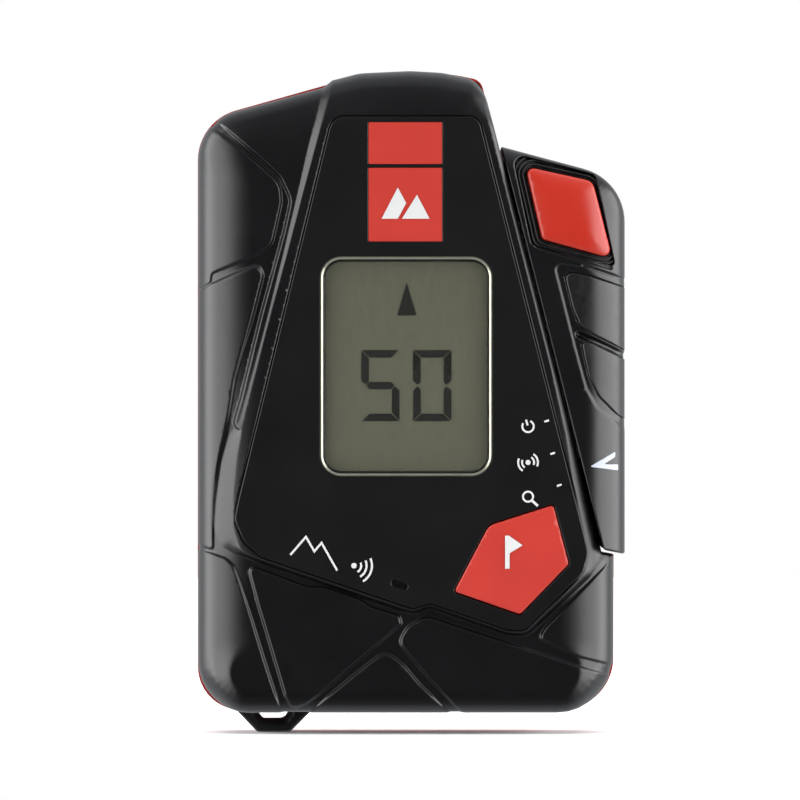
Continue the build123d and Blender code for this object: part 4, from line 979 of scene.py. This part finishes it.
def loop_solid(p, y):
    """Loop under the case, with a bevel round the front of its hole."""
    body = smooth_max(p["loop"], np.abs(y - LOOP_MIDDLE_Y) - LOOP_HALF_DEPTH, 0.45)
    body = smooth_max(body, -p["hole"], 0.2)
    body = smooth_max(body, -(p["hole"] + (y + 0.6) - 1.0) / math.sqrt(2), 0.15)
    return np.maximum(body, 0.15 - p["case"])


loop = sculpt("lanyard_eye", (-32.0, -0.7, -0.1), (-16.0, 3.5, 6.0), 0.15, loop_plan, loop_solid, 0.2)
dress(loop, "casing", "frame_plastic", "lanyard_loop")

# ---------------------------------------------------------------- stage, light and camera, in metres
FLOOR_SPAN = 1.3
FLOOR_FRONT = -0.1
TARGET = (0.0, 0.0, 0.055)
VIEW_MIDDLE = (-0.00193, 0.0558)
VIEW_WIDTH = 0.13333
VIEW_PLANE_Y = -0.0126
LENS_MM = 400.0
SENSOR_MM = 36.0


def make_floor():
    """Pale floor, left out of reflections so that it doesn't haze the glossy front."""
    mesh = bpy.data.meshes.new("floor")
    corners = [
        (-FLOOR_SPAN, FLOOR_FRONT, 0), (FLOOR_SPAN, FLOOR_FRONT, 0),
        (FLOOR_SPAN, FLOOR_SPAN, 0), (-FLOOR_SPAN, FLOOR_SPAN, 0),
    ]
    mesh.from_pydata(corners, [], [(0, 1, 2, 3)])
    piece = bpy.data.objects.new("floor", mesh)
    bpy.context.scene.collection.objects.link(piece)
    m = Nodes("floor_pale")
    m.colour(m.ramp(m.noise(2.0), (0.3, (0.90, 0.90, 0.90, 1)), (0.7, (0.92, 0.92, 0.92, 1))))
    m.set(Roughness=0.9, Specular_IOR_Level=0.1)
    mesh.materials.append(m.material)
    piece.visible_glossy = False
    return piece


def make_world():
    """White to the camera; to the object, a room that is dim in front and bright behind."""
    world = bpy.data.worlds.new("studio")
    bpy.context.scene.world = world
    world.use_nodes = True
    tree = world.node_tree
    tree.nodes.clear()
    output = tree.nodes.new("ShaderNodeOutputWorld")
    rays = tree.nodes.new("ShaderNodeLightPath")
    seen = tree.nodes.new("ShaderNodeBackground")
    seen.inputs[0].default_value = (1.0, 1.0, 1.0, 1.0)
    seen.inputs[1].default_value = 1.0
    room = tree.nodes.new("ShaderNodeBackground")
    room.inputs[0].default_value = (0.95, 0.97, 1.0, 1.0)
    direction = tree.nodes.new("ShaderNodeTexCoord")
    split = tree.nodes.new("ShaderNodeSeparateXYZ")
    tree.links.new(direction.outputs["Generated"], split.inputs[0])
    reach = tree.nodes.new("ShaderNodeMapRange")
    reach.interpolation_type = "SMOOTHSTEP"
    reach.inputs["From Min"].default_value = -0.95
    reach.inputs["From Max"].default_value = -0.2
    reach.inputs["To Min"].default_value = 0.05
    reach.inputs["To Max"].default_value = 0.8
    tree.links.new(split.outputs["Y"], reach.inputs["Value"])
    tree.links.new(reach.outputs[0], room.inputs[1])
    choose = tree.nodes.new("ShaderNodeMixShader")
    tree.links.new(rays.outputs["Is Camera Ray"], choose.inputs[0])
    tree.links.new(room.outputs[0], choose.inputs[1])
    tree.links.new(seen.outputs[0], choose.inputs[2])
    tree.links.new(choose.outputs[0], output.inputs[0])


def softbox(name, azimuth, elevation, width, height, radiance):
    """Area light looking at the object. Azimuth 0 is the camera's side, positive to the right."""
    distance = 1.7
    light = bpy.data.lights.new(name, "AREA")
    light.shape = "RECTANGLE"
    light.size, light.size_y = width, height
    light.energy = radiance * width * height * 4
    lamp = bpy.data.objects.new(name, light)
    a, e = math.radians(azimuth), math.radians(elevation)
    away = (math.sin(a) * math.cos(e), -math.cos(a) * math.cos(e), math.sin(e))
    lamp.location = [TARGET[k] + distance * away[k] for k in range(3)]
    lamp.rotation_euler = (math.pi / 2 - e, 0.0, a)
    bpy.context.scene.collection.objects.link(lamp)
    return lamp


def make_camera():
    """Long lens straight at the front."""
    data = bpy.data.cameras.new("camera")
    data.lens = LENS_MM
    data.sensor_width = SENSOR_MM
    data.clip_start = 0.01
    data.clip_end = 30.0
    camera = bpy.data.objects.new("camera", data)
    distance = VIEW_WIDTH * LENS_MM / SENSOR_MM
    camera.location = (VIEW_MIDDLE[0], VIEW_PLANE_Y - distance, VIEW_MIDDLE[1])
    camera.rotation_euler = (math.pi / 2, 0.0, 0.0)
    bpy.context.scene.collection.objects.link(camera)
    bpy.context.scene.camera = camera


floor = make_floor()
make_world()
softbox("softbox_left", -75, 6, 2.9, 1.8, 3.7)
softbox("softbox_right", 75, 6, 2.9, 1.8, 3.7)
softbox("softbox_top", 180, 82, 2.6, 2.6, 1.7).visible_glossy = False
make_camera()
bpy.context.scene.view_settings.view_transform = "Standard"
bpy.context.scene.view_settings.look = "None"
